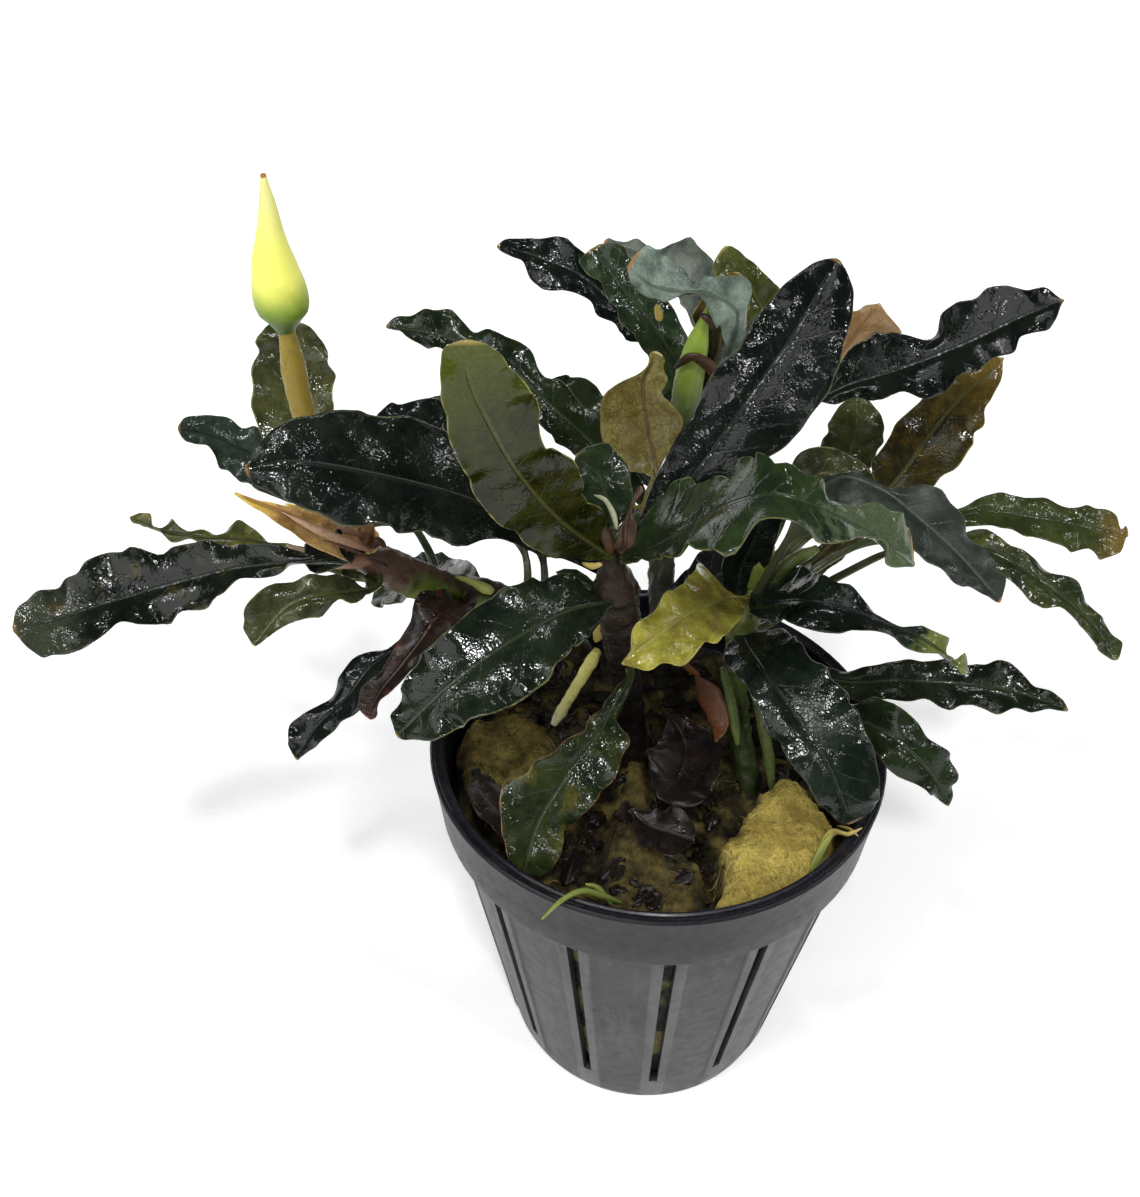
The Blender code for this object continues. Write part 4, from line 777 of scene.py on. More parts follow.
SKINS = {
    "black": BLACK,
    "black_olive": BLACK._replace(far=(0.130, 0.135, 0.040), far_at=(0.66, 0.74)),
    "black_brown": BLACK._replace(
        far=(0.050, 0.060, 0.052), far_at=(0.72, 0.86), blotch=(0.055, 0.047, 0.016), blotches=0.6
    ),
    "green": GREEN,
    "green_rust": GREEN._replace(
        light=(0.034, 0.046, 0.012), rim=(0.30, 0.13, 0.03), blotch=(0.09, 0.085, 0.012), blotches=0.6
    ),
    # The outer part of the blade turns pale grey: a painted sheen, the reflection of the pale surroundings.
    "green_painted_sheen": GREEN._replace(far=(0.080, 0.098, 0.066), far_at=(0.64, 0.70), tip=(0.35, 0.22, 0.08)),
    "green_edge": GREEN._replace(
        light=(0.034, 0.046, 0.012), rim=(0.17, 0.17, 0.055), blotch=(0.08, 0.085, 0.012), blotches=0.6
    ),
    "green_light": GREEN._replace(
        dark=(0.022, 0.034, 0.008), light=(0.055, 0.070, 0.018),
        far=(0.17, 0.115, 0.026), far_at=(0.75, 0.95),
    ),
    "olive": OLIVE,
    "olive_tip": OLIVE._replace(
        dark=(0.015, 0.018, 0.004), light=(0.046, 0.054, 0.009),
        far=(0.135, 0.155, 0.028), far_at=(0.50, 1.0),
    ),
    "olive_dark": OLIVE._replace(dark=(0.018, 0.021, 0.008), light=(0.055, 0.062, 0.022), glow=0.0),
    "olive_brown": OLIVE._replace(
        dark=(0.012, 0.012, 0.005), light=(0.036, 0.034, 0.010), blotch=(0.085, 0.060, 0.012), blotches=0.6,
        far=(0.14, 0.10, 0.020), far_at=(0.6, 0.95),
    ),
    "grey": GREY,
    # Paler and bluer than the grey leaves' own colour: partly their colour and partly a painted sheen, the
    # reflection of the pale surroundings.
    "grey_painted_sheen": GREY._replace(
        dark=(0.030, 0.042, 0.036), light=(0.100, 0.122, 0.110), vein=0.15, sparkle=0.8,
    ),
    "tan": TAN,
    "orange": TAN._replace(
        dark=(0.22, 0.13, 0.055), light=(0.34, 0.22, 0.10),
        rib=(0.2, 0.11, 0.04), rim=(0.4, 0.25, 0.1), net=0.2,
    ),
    "yellow": OLIVE._replace(
        dark=(0.14, 0.125, 0.016), light=(0.33, 0.29, 0.045), rib=(0.36, 0.34, 0.09), rim=(0.40, 0.38, 0.12),
        tip=(0.30, 0.30, 0.04), net=0.3, blotch=(0.16, 0.10, 0.03), blotches=0.8, vein=0.5,
        far=(0.075, 0.055, 0.020), far_at=(0.36, 0.10),
    ),
    "dead": Skin(
        (0.0050, 0.0035, 0.0030), (0.030, 0.013, 0.007), (0.04, 0.015, 0.008), (0.09, 0.03, 0.012),
        (0.22, 0.06, 0.015), (0.03, 0.012, 0.006), rough=(0.14, 0.35), sparkle=1.2,
        blotch=(0.11, 0.025, 0.008), blotches=0.5,
    ),
    "muck": Skin(
        (0.0035, 0.0030, 0.0028), (0.014, 0.009, 0.006), (0.02, 0.012, 0.008), (0.03, 0.016, 0.01),
        (0.05, 0.02, 0.01), (0.01, 0.006, 0.004), rough=(0.12, 0.35), sparkle=1.4,
        blotch=(0.035, 0.012, 0.009), blotches=0.5,
    ),
    "sheath_dark": Skin(
        (0.050, 0.028, 0.016), (0.130, 0.075, 0.042), (0.10, 0.05, 0.03), (0.22, 0.13, 0.08),
        (0.25, 0.14, 0.07), (0.1, 0.06, 0.03), rough=(0.25, 0.45), sparkle=0.3,
        blotch=(0.03, 0.015, 0.01), blotches=0.8,
    ),
    "sheath": Skin(
        (0.340, 0.185, 0.070), (0.620, 0.430, 0.270), (0.26, 0.13, 0.06), (0.6, 0.42, 0.25),
        (0.70, 0.42, 0.10), (0.40, 0.26, 0.14), rough=(0.3, 0.5), sparkle=0.15, glow=0.2,
        blotch=(0.13, 0.055, 0.020), blotches=0.9, far=(0.66, 0.48, 0.14), far_at=(0.62, 0.8),
    ),
}

# Leaves whose skin differs from their tone's
DRESSED_AS = {
    "leaf_far_left": "black_brown", "leaf_right_mid": "black_olive", "leaf_mid_right_green": "green_painted_sheen",
    "leaf_pot_front": "green_rust", "leaf_olive_big": "olive_tip", "leaf_right_green_ragged": "green_light",
    "leaf_right_droop": "green_edge", "leaf_left_upright": "olive_dark",
    "leaf_right_upright_small": "olive_dark", "leaf_olive_left_low": "olive_dark",
    "leaf_top_olive": "green", "leaf_olive_brown_right": "olive_brown", "leaf_top_folded": "grey_painted_sheen",
    "leaf_back_grey": "grey_painted_sheen", "leaf_curled_top": "olive_brown", "leaf_thin_left": "green_edge",
    "sheath_crown": "sheath_dark", "dead_leaf_center": "muck", "dead_leaf_front": "muck",
    "dead_leaf_rim": "muck", "leaf_curled_right": "olive_dark",
}

# How a leaf's colour differs from its skin's: partly the leaf's own colour and partly painted light and
# shade, each leaf made lighter or darker to make up for the light it stands in, and on leaf_top_folded and
# leaf_back_grey a painted sheen
TINTS_AND_LIGHT = {
    "leaf_far_left": (1.0, 1.0, 0.7), "leaf_black_big": (1.25, 1.25, 1.1),
    "leaf_olive_big": (0.57, 0.62, 0.38), "leaf_right_long_black": (0.8, 0.8, 0.75),
    "sheath_left_long": (1.4, 1.35, 0.9), "sheath_left_short": (1.4, 1.35, 0.9),
    "leaf_left_upright": (1.5, 1.45, 1.3), "leaf_left_hooked": (4.4, 4.2, 4.2),
    "leaf_thin_left": (3.6, 2.8, 2.1), "leaf_olive_left_low": (1.4, 1.45, 1.5),
    "leaf_big_lower_left": (0.5, 0.56, 0.58), "leaf_yellow_small": (1.3, 1.35, 1.3),
    "leaf_dark_front_right": (1.45, 1.55, 1.3), "leaf_right_mid": (1.3, 1.5, 1.3),
    "leaf_mid_right_green": (1.05, 1.2, 0.85), "leaf_black_diag": (0.6, 0.65, 0.6),
    "leaf_olive_brown_right": (1.15, 1.15, 1.0), "leaf_right_upright_small": (1.45, 1.4, 1.3),
    "leaf_right_droop": (1.45, 1.35, 1.3), "leaf_tan_center": (1.25, 1.4, 1.1),
    "leaf_top_left_long": (0.5, 0.7, 0.6), "leaf_top_olive": (1.4, 1.5, 1.5),
    "leaf_top_folded": (2.9, 3.0, 2.7), "leaf_back_grey": (1.65, 1.6, 1.4),
    "leaf_back_olive": (1.4, 1.5, 1.7), "leaf_teal_center": (1.4, 1.4, 1.5),
    "leaf_back_left_long": (0.6, 0.68, 0.5), "leaf_right_low_long": (0.6, 0.6, 0.6),
    "leaf_right_low_short": (0.8, 0.85, 0.7), "leaf_grey_right": (0.68, 0.73, 0.66),
}


def leaf_finish(tone, skin):
    """Wet leaf skin: mottled green, a fine pebbled grain that sparkles in patches and has painted shade at
    its pebbles' low edges, midrib, thin margin, and a per-leaf tint that is partly painted light and shade.
    """
    graph = Graph("leaf_" + tone)
    u, blade, upper = graph.attribute("blade")[:3]
    x, along, seed = graph.attribute("reach")[:3]
    tint_and_light = graph.node("ShaderNodeAttribute", attribute_name="tint_and_light").outputs["Vector"]
    place = graph.place(seed)
    broad = graph.noise(0.22, 3.0, place)
    middle = graph.noise(0.9, 4.0, place)
    grain = graph.cells(3.4, place, "F1")
    away = graph.math("ABSOLUTE", x)
    edge = graph.math("ABSOLUTE", u)
    shade = graph.plus(graph.times(broad, 0.6), graph.times(middle, 0.4))
    colour = graph.mix(graph.rise(shade, 0.36, 0.64), skin.dark, skin.light)
    if skin.far:
        reach = graph.plus(blade, graph.times(graph.minus(middle, 0.5), 0.2))
        colour = graph.mix(graph.rise(reach, *skin.far_at), colour, skin.far)
    if skin.blotches > 0.0:
        cloud = graph.rise(graph.noise(0.33, 4.0, place, 0.6), 0.62 - 0.14 * skin.blotches, 0.70)
        colour = graph.mix(graph.times(cloud, 0.85), colour, skin.blotch)
    # The per-leaf tint: partly the leaf's own colour, partly painted light and shade.
    colour = graph.vector("MULTIPLY", colour, tint_and_light)
    swept = graph.minus(along, graph.times(away, 0.9))
    swept = graph.plus(swept, graph.times(middle, 1.1))
    row = graph.math("PINGPONG", swept, 1.25)
    vein = graph.times(graph.rise(row, 0.14, 0.02), graph.rise(edge, 0.95, 0.5))
    colour = graph.mix(graph.times(vein, 0.35 * skin.vein), colour, skin.rib)
    if skin.net > 0.0:
        web = graph.rise(graph.cells(1.6, place, "DISTANCE_TO_EDGE"), 0.09, 0.01)
        colour = graph.mix(graph.times(web, skin.net), colour, skin.rib)
    rib = graph.times(graph.rise(away, 0.26, 0.10), graph.rise(blade, 0.97, 0.85))
    colour = graph.mix(graph.times(rib, 0.7), colour, skin.rib)
    # Painted shade: each pebble of the grain is darker towards its low edge.
    colour = graph.mix(graph.rise(grain, 0.20, 0.55, 0.0, 0.25), colour, tuple(c * 0.4 for c in skin.dark))
    colour = graph.mix(graph.rise(blade, 0.05, -0.06), colour, skin.back)
    rim = graph.rise(graph.plus(edge, graph.times(middle, 0.03)), 0.975, 1.005)
    rim = graph.times(rim, graph.rise(middle, 0.40, 0.58, 0.25, 0.85))
    colour = graph.mix(rim, colour, skin.rim)
    end = graph.rise(graph.plus(blade, graph.times(middle, 0.012)), 0.982, 1.0)
    colour = graph.mix(end, colour, skin.tip)
    under = graph.rise(upper, 0.3, -0.3)
    colour = graph.mix(graph.times(under, 0.7), colour, skin.back)
    patch = graph.rise(graph.noise(0.34, 3.0, place, 0.6), 0.50, 0.64)
    beads = graph.times(graph.times(grain, patch), -0.12 * skin.sparkle)
    height = graph.minus(beads, graph.times(grain, 0.10))
    height = graph.plus(height, graph.times(graph.noise(0.7, 2.0, place), 0.36))
    height = graph.minus(height, graph.times(vein, 0.12))
    height = graph.minus(height, graph.times(rib, 0.5))
    normal = graph.bump(height, 0.16)
    normal = graph.facets(normal, 3.0, place, graph.rise(patch, 0.0, 1.0, 0.04, 0.19 * skin.sparkle))
    low, high = skin.rough
    uneven = graph.rise(broad, 0.3, 0.7, -0.03, 0.05)
    roughness = graph.plus(graph.rise(patch, 0.0, 1.0, high, low), uneven)
    sockets = {"Specular_IOR_Level": 0.32}
    if skin.glow > 0.0:
        sockets["Subsurface_Weight"] = skin.glow
        sockets["Subsurface_Scale"] = 0.0012
        sockets["Subsurface_Radius"] = (1.0, 0.8, 0.3)
    return graph.finish(colour, roughness, normal, **sockets)


def make_leaves():
    """Every living leaf, sheath and dead leaf, each in place of its CAD node."""
    finishes = {tone: leaf_finish(tone, skin) for tone, skin in SKINS.items()}
    seed = 0
    for group in (LEAVES, SHEATHS, DEAD_LEAVES):
        for name, leaf in group.items():
            seed += SEED_STEP
            points, faces, blade_at, reach_at = blade_shape(leaf, name, seed)
            tint_and_light = [TINTS_AND_LIGHT.get(name, (1.0, 1.0, 1.0))] * len(points)
            layers = {"blade": blade_at, "reach": reach_at, "tint_and_light": tint_and_light}
            piece = new_mesh(name + "_blade", points, faces, layers)
            dress(piece, finishes[DRESSED_AS.get(name, leaf.tone)], name)


def rod_shape(places, radii, count, sides=20, lumps=0.05, grain=1.2, seed=0, flat=1.0):
    """A round or flattened stem through these places: points, faces and (share, travel, way up)."""
    line = smooth_line(places, count)
    points = []
    rod_at = []
    travel = 0.0
    side = Vector((0.0, 1.0, 0.0))
    for index, place in enumerate(line):
        t = index / (count - 1)
        ahead = (line[min(index + 1, count - 1)] - line[max(index - 1, 0)]).normalized()
        side = (side - ahead * side.dot(ahead)).normalized()
        other = ahead.cross(side)
        if index:
            travel += (place - line[index - 1]).length
        radius = between(radii, t)
        cap = min(1.0, 3.0 * min(index, count - 1 - index) / count + 0.55)
        for turn in range(sides):
            angle = 2 * math.pi * turn / sides
            way = side * (math.cos(angle) * flat) + other * math.sin(angle)
            rough = noise.noise((place + way * radius) * grain + Vector((seed, 0.0, 0.0)))
            rough += 0.5 * noise.noise((place + way * radius) * grain * 2.3 + Vector((seed, 5.0, 0.0)))
            points.append(place + way * (radius * cap * (1.0 + lumps * rough)))
            rod_at.append((t, travel, way.z))
    return points, loft_faces(count, sides), rod_at


def make_rod(name, *args, **settings):
    """A rod as an object of its own."""
    points, faces, rod_at = rod_shape(*args, **settings)
    return new_mesh(name, points, faces, {"rod": rod_at})


def joined(name, shapes, *keys):
    """One mesh from several closed shapes of points, faces and the named attributes' values."""
    points, faces = [], []
    values = {key: [] for key in keys}
    for some_points, some_faces, *some_values in shapes:
        first = len(points)
        points += list(some_points)
        faces += [tuple(first + corner for corner in face) for face in some_faces]
        for key, more in zip(keys, some_values):
            values[key] += list(more)
    return new_mesh(name, points, faces, values)


def bark_finish(name, stops, spots, rough=(0.3, 0.6), relief=0.12, glow=0.0, belly=None, mottled=0.6):
    """A stem's skin: colours along its length, mottled with spots, with fine relief and a coloured belly."""
    graph = Graph(name)
    along, _, up = graph.attribute("rod")[:3]
    place = graph.place()
    mottle = graph.noise(1.3, 4.0, place, 0.6)
    fine = graph.noise(4.5, 3.0, place)
    shifted = graph.plus(along, graph.times(graph.minus(mottle, 0.5), 0.25))
    ramp_node = graph.node("ShaderNodeValToRGB")
    graph.put(ramp_node.inputs[0], shifted)
    elements = ramp_node.color_ramp.elements
    for at, colour in sorted(stops)[1:-1]:
        elements.new(at).color = (*colour, 1.0)
    elements[0].color = (*sorted(stops)[0][1], 1.0)
    elements[-1].color = (*sorted(stops)[-1][1], 1.0)
    colour = ramp_node.outputs[0]
    if belly:
        shade, start, end = belly
        low = graph.rise(graph.plus(up, graph.times(mottle, 0.5)), 1.0, 0.55)
        begun = graph.rise(along, start - 0.08, start + 0.04)
        part = graph.times(begun, graph.rise(along, end + 0.08, end - 0.04))
        colour = graph.mix(graph.times(low, part), colour, shade)
    colour = graph.mix(graph.rise(mottle, 0.52, 0.68, 0.0, mottled), colour, spots)
    colour = graph.mix(graph.rise(fine, 0.60, 0.75, 0.0, 0.5), colour, tuple(c * 0.5 for c in spots))
    height = graph.plus(graph.times(mottle, 0.7), graph.times(fine, 0.5))
    roughness = graph.rise(mottle, 0.35, 0.65, rough[0], rough[1])
    sockets = {"Specular_IOR_Level": 0.3}
    if glow:
        sockets["Subsurface_Weight"] = glow
        sockets["Subsurface_Scale"] = 0.001
        sockets["Subsurface_Radius"] = (1.0, 0.9, 0.4)
    return graph.finish(colour, roughness, graph.bump(height, relief), **sockets)


def dress(piece, material, node=None):
    """Gives a piece its finish and its body, and hides the CAD node it stands for, where there is one."""
    piece.data.materials.append(material)
    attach(piece, "root")
    if node:
        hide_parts(node)


def make_shoots():
    """The four shoots, the flower's stalk and the pale root."""
    brown = bark_finish(
        "bark_main",
        [
            (0.0, (0.026, 0.016, 0.008)), (0.16, (0.022, 0.012, 0.006)),
            (0.4, (0.009, 0.007, 0.005)), (1.0, (0.008, 0.006, 0.005)),
        ],
        (0.012, 0.007, 0.006), relief=0.25, rough=(0.25, 0.45),
    )
    left = bark_finish(
        "bark_left",
        [
            (0.0, (0.022, 0.014, 0.008)), (0.35, (0.022, 0.014, 0.008)),
            (0.62, (0.040, 0.024, 0.012)), (1.0, (0.13, 0.070, 0.040)),
        ],
        (0.025, 0.014, 0.008), relief=0.15, belly=((0.110, 0.170, 0.018), 0.38, 0.72), rough=(0.28, 0.5),
    )
    right = bark_finish(
        "bark_right",
        [
            (0.0, (0.17, 0.19, 0.05)), (0.35, (0.09, 0.125, 0.028)),
            (0.6, (0.05, 0.075, 0.018)), (1.0, (0.02, 0.025, 0.008)),
        ],
        (0.035, 0.040, 0.014), relief=0.12,
    )
    back = bark_finish(
        "bark_back", [(0.0, (0.05, 0.06, 0.02)), (0.4, (0.025, 0.026, 0.012)), (1.0, (0.010, 0.009, 0.006))],
        (0.014, 0.012, 0.007), relief=0.12,
    )
    finishes = {"stem_main": brown, "stem_left": left, "stem_right": right, "stem_back": back}
    for index, (name, shoot) in enumerate(SHOOTS.items()):
        places = [seen(*place) for place in shoot.points]
        bark = make_rod(
            name + "_bark", places, shoot.radii, 120, 30, lumps=0.16, grain=0.9, seed=index * 7.0
        )
        dress(bark, finishes[name], name)
    stalk = [(362, 548, 4), (335, 500, 4), (312, 440, 2), (300, 400, 1), (288, 338, 0), (286, 330, 0)]
    tan = bark_finish(
        "stalk_tan", [(0.0, (0.12, 0.07, 0.018)), (0.5, (0.27, 0.185, 0.028)), (1.0, (0.32, 0.24, 0.035))],
        (0.19, 0.12, 0.028), relief=0.06, glow=0.1, mottled=0.35,
    )
    stalk = [seen(*place) for place in stalk]
    dress(make_rod("peduncle_skin", stalk, [0.9, 1.0, 1.0, 1.05, 1.2], 80, 24, lumps=0.04), tan, "peduncle")
    # The root's colours are pushed close to white-yellow to make up for the shade it lies in: its own pale
    # colour plus painted light.
    root_colour_with_light = bark_finish(
        "root_cream_painted_light", [(0.0, (0.80, 0.76, 0.22)), (0.6, (0.92, 0.88, 0.30)), (1.0, (0.95, 0.90, 0.55))],
        (0.42, 0.38, 0.12), relief=0.05, glow=0.15, mottled=0.4,
    )
    root = [seen(*place) for place in ((597, 651, 2.5), (584, 674, 3), (568, 700, 3), (554, 724, 2.6))]
    radii = [0.8, 0.72, 0.62, 0.62, 0.72]
    dress(make_rod("root_skin", root, radii, 50, 20, lumps=0.16), root_colour_with_light, "aerial_root")


def make_flowers():
    """The closed spathe with its brown tip, and the green bud behind the middle leaves."""
    graph = Graph("spathe_skin")
    along = graph.attribute("rod")[0]
    place = graph.place()
    soft = graph.noise(0.5, 3.0, place)
    ribs = graph.noise(2.2, 2.0, place)
    shifted = graph.plus(along, graph.times(graph.minus(soft, 0.5), 0.1))
    colour = graph.mix(graph.rise(shifted, 0.04, 0.26), (0.055, 0.115, 0.008), (0.20, 0.31, 0.016))
    colour = graph.mix(graph.rise(shifted, 0.17, 0.42), colour, (0.95, 0.95, 0.19))
    colour = graph.mix(graph.rise(shifted, 0.5, 0.9), colour, (0.84, 0.82, 0.30))
    colour = graph.mix(graph.rise(shifted, 0.968, 0.982), colour, (0.35, 0.14, 0.02))
    roughness = graph.rise(soft, 0.3, 0.7, 0.38, 0.5)
    skin = graph.finish(
        colour, roughness, graph.bump(ribs, 0.04),
        Subsurface_Weight=0.35, Subsurface_Scale=0.0015, Subsurface_Radius=(1.0, 0.9, 0.3),
    )
    foot = seen(286, 333, 0)
    tip = seen(263, 174, 0)
    middle = foot.lerp(tip, 0.5) + Vector((-0.15, 0.0, 0.0))
    places = [foot, foot.lerp(tip, 0.25), middle, foot.lerp(tip, 0.8), tip]
    widths = [1.15, 1.6, 2.0, 2.25, 2.3, 2.2, 2.0, 1.8, 1.55, 1.3, 1.08, 0.9, 0.74, 0.6, 0.5, 0.4]
    dress(make_rod("spathe_skin", places, widths, 120, 40, lumps=0.03, grain=0.35, seed=3.0), skin, "spathe")
    graph = Graph("bud_skin")
    along = graph.attribute("rod")[0]
    place = graph.place()
    soft = graph.noise(0.6, 3.0, place)
    # Painted light and shade: the bud is lighter towards its tip and darker at its foot.
    painted_light = graph.plus(along, graph.times(soft, 0.2))
    colour = graph.mix(graph.rise(painted_light, 0.50, 0.92), (0.022, 0.048, 0.003), (0.25, 0.35, 0.038))
    height = graph.noise(2.5, 2.0, place)
    skin = graph.finish(
        colour, graph.rise(soft, 0.3, 0.7, 0.3, 0.45), graph.bump(height, 0.05),
        Subsurface_Weight=0.25, Subsurface_Scale=0.0012, Subsurface_Radius=(0.8, 1.0, 0.2),
    )
    bud = [(676, 478, 20), (679, 445, 19), (684, 415, 18), (689, 380, 18), (697, 345, 18), (708, 307, 18)]
    girth = [0.6, 0.6, 0.75, 1.2, 1.5, 1.55, 1.5, 1.3, 0.85, 0.4]
    bud = [seen(*place) for place in bud]
    dress(make_rod("bud_skin", bud, girth, 90, 28, lumps=0.03), skin, "bud_spathe")


# Small things the CAD model leaves out: a finish, places as (pixel x, pixel y, depth) or, for things
# on the rockwool and the rim, (pixel x, pixel y, height), radii, and how flat the rod is
Twig = namedtuple("Twig", "finish where places radii flat", defaults=(1.0,))

TWIGS = [
    Twig("sprout", "level", [(622, 903, 46.0), (603, 896, 47.2), (582, 891, 48.5), (562, 900, 48.9),
        (542, 919, 48.6)], [0.30, 0.42, 0.40, 0.32, 0.22], 0.7),
    Twig("sprout", "level", [(612, 905, 46.0), (598, 888, 47.8), (586, 884, 48.9)], [0.2, 0.3, 0.15]),
    Twig("lime", "level", [(812, 872, 45.4), (822, 850, 46.8), (832, 834, 48.2)], [0.55, 0.5, 0.3], 0.4),
    Twig("straw", "level", [(820, 846, 46.6), (834, 832, 48.2), (848, 834, 48.9), (862, 828, 49.2)], [0.3,
        0.55, 0.4, 0.2], 0.45),
    Twig("straw", "level", [(838, 826, 47.6), (850, 829, 48.8), (858, 836, 49.0)], [0.2, 0.35, 0.15], 0.5),
    Twig("husk", "seen", [(675, 368, 16.9), (690, 357, 16.0), (704, 362, 16.1), (722, 378, 17.2)], [0.35,
        0.5, 0.75, 0.6], 0.6),
    Twig("husk", "seen", [(700, 314, 16.9), (707, 318, 16.6), (718, 326, 17.0)], [0.25, 0.45, 0.3]),
    Twig("straw", "seen", [(657, 305, 22.9), (660, 321, 22.6)], [0.35, 0.45, 0.4], 0.5),
    Twig("pale", "seen", [(594, 495, -1.5), (605, 500, -2.4), (613, 513, -2.9), (617, 529, -2.9)], [0.12,
        0.32, 0.36, 0.2], 0.5),
    Twig("straw", "seen", [(582, 563, -2.2), (592, 566, -2.6), (602, 564, -2.7)], [0.2, 0.4, 0.25], 0.5),
    Twig("lime", "seen", [(455, 577, 2.2), (472, 582, 1.4), (492, 592, 1.6)], [0.15, 0.5, 0.75], 0.6),
    Twig("pink", "seen", [(372, 563, -1.2), (342, 561, -1.8), (312, 556, -1.6), (286, 545, -1.0)], [0.5,
        1.0, 0.8, 0.2], 0.5),
    Twig("pink", "seen", [(372, 552, -2.2), (345, 541, -3.6), (316, 529, -4.6), (282, 512, -5.0)], [0.3,
        0.55, 0.45, 0.1], 0.5),
    Twig("pink", "seen", [(362, 536, -1.0), (340, 527, -1.4), (318, 517, -1.2)], [0.3, 0.6, 0.15], 0.5),
    Twig("husk", "seen", [(388, 566, -1.0), (366, 556, -2.6), (338, 545, -3.9), (322, 540, -4.2)], [0.2,
        0.28, 0.22, 0.08], 0.6),
    Twig("amber", "seen", [(358, 548, 0.8), (364, 536, 0.2), (373, 525, 0.8)], [0.6, 1.15, 0.5], 0.8),
    Twig("husk", "seen", [(372, 548, -0.6), (378, 541, -0.9), (386, 547, -0.5)], [0.25, 0.45, 0.2]),
    Twig("sprout", "seen", [(752, 596, 7.0), (763, 568, 6.6), (772, 534, 6.2)], [0.9, 1.1, 0.35], 0.5),
    Twig("stalk", "seen", [(752, 612, 7.0), (784, 568, 7.6), (818, 548, 8.6)], [0.8, 0.75, 0.7]),
    Twig("stalk", "seen", [(750, 660, 2.6), (759, 705, 0.6), (768, 752, -2.4), (772, 790, -4.4)], [0.6, 0.7,
        0.65, 0.5]),
    Twig("rust", "seen", [(696, 676, 2.0), (710, 696, 1.0), (720, 722, -1.0), (716, 742, -3.0)], [0.4, 1.5,
        1.3, 0.3], 0.18),
    Twig("rust", "seen", [(668, 640, 3.0), (684, 664, 2.4), (700, 676, 2.0)], [0.3, 0.5, 0.35], 0.4),
    Twig("husk", "seen", [(600, 520, -2.2), (606, 535, -2.4), (611, 552, -2.2)], [0.25, 0.6, 0.5], 0.5),
    Twig("stalk", "seen", [(722, 668, 1.0), (731, 700, -0.4), (738, 745, -3.0)], [0.5, 0.55, 0.45]),
    Twig("straw", "seen", [(596, 642, 0.6), (600, 632, 0.2), (603, 622, 0.2)], [0.3, 0.7, 0.3], 0.4),
]


def make_twigs():
    """Sprouts, stalks, papery bits and the torn skin round the bud, as one piece for each finish."""
    finishes = {
        "sprout": (((0.09, 0.13, 0.025), (0.26, 0.30, 0.06)), (0.12, 0.15, 0.03)),
        "straw": (((0.36, 0.30, 0.06), (0.55, 0.42, 0.14)), (0.30, 0.18, 0.05)),
        "husk": (((0.020, 0.012, 0.008), (0.10, 0.045, 0.018)), (0.010, 0.006, 0.005)),
        "pale": (((0.38, 0.40, 0.24), (0.46, 0.46, 0.30)), (0.26, 0.26, 0.14)),
        "amber": (((0.10, 0.045, 0.018), (0.24, 0.11, 0.04)), (0.06, 0.03, 0.012)),
        "rust": (((0.055, 0.017, 0.004), (0.12, 0.036, 0.007)), (0.028, 0.009, 0.004)),
        "lime": (((0.16, 0.20, 0.03), (0.40, 0.42, 0.12)), (0.22, 0.24, 0.06)),
        "pink": (((0.20, 0.095, 0.055), (0.60, 0.40, 0.26)), (0.26, 0.12, 0.06)),
        "stalk": (((0.055, 0.075, 0.020), (0.10, 0.13, 0.035)), (0.035, 0.045, 0.014)),
    }
    for finish, ((start, end), spots) in finishes.items():
        shapes = []
        for index, twig in enumerate(TWIGS):
            if twig.finish == finish:
                locate = level if twig.where == "level" else seen
                places = [locate(*place) for place in twig.places]
                shapes.append(rod_shape(places, twig.radii, 36, 16, 0.12, seed=index * 3.0, flat=twig.flat))
        stops = [(0.0, start), (1.0, end)]
        skin = bark_finish("twig_" + finish, stops, spots, rough=(0.25, 0.5), relief=0.06, glow=0.05)
        dress(joined("twigs_" + finish, shapes, "rod"), skin)


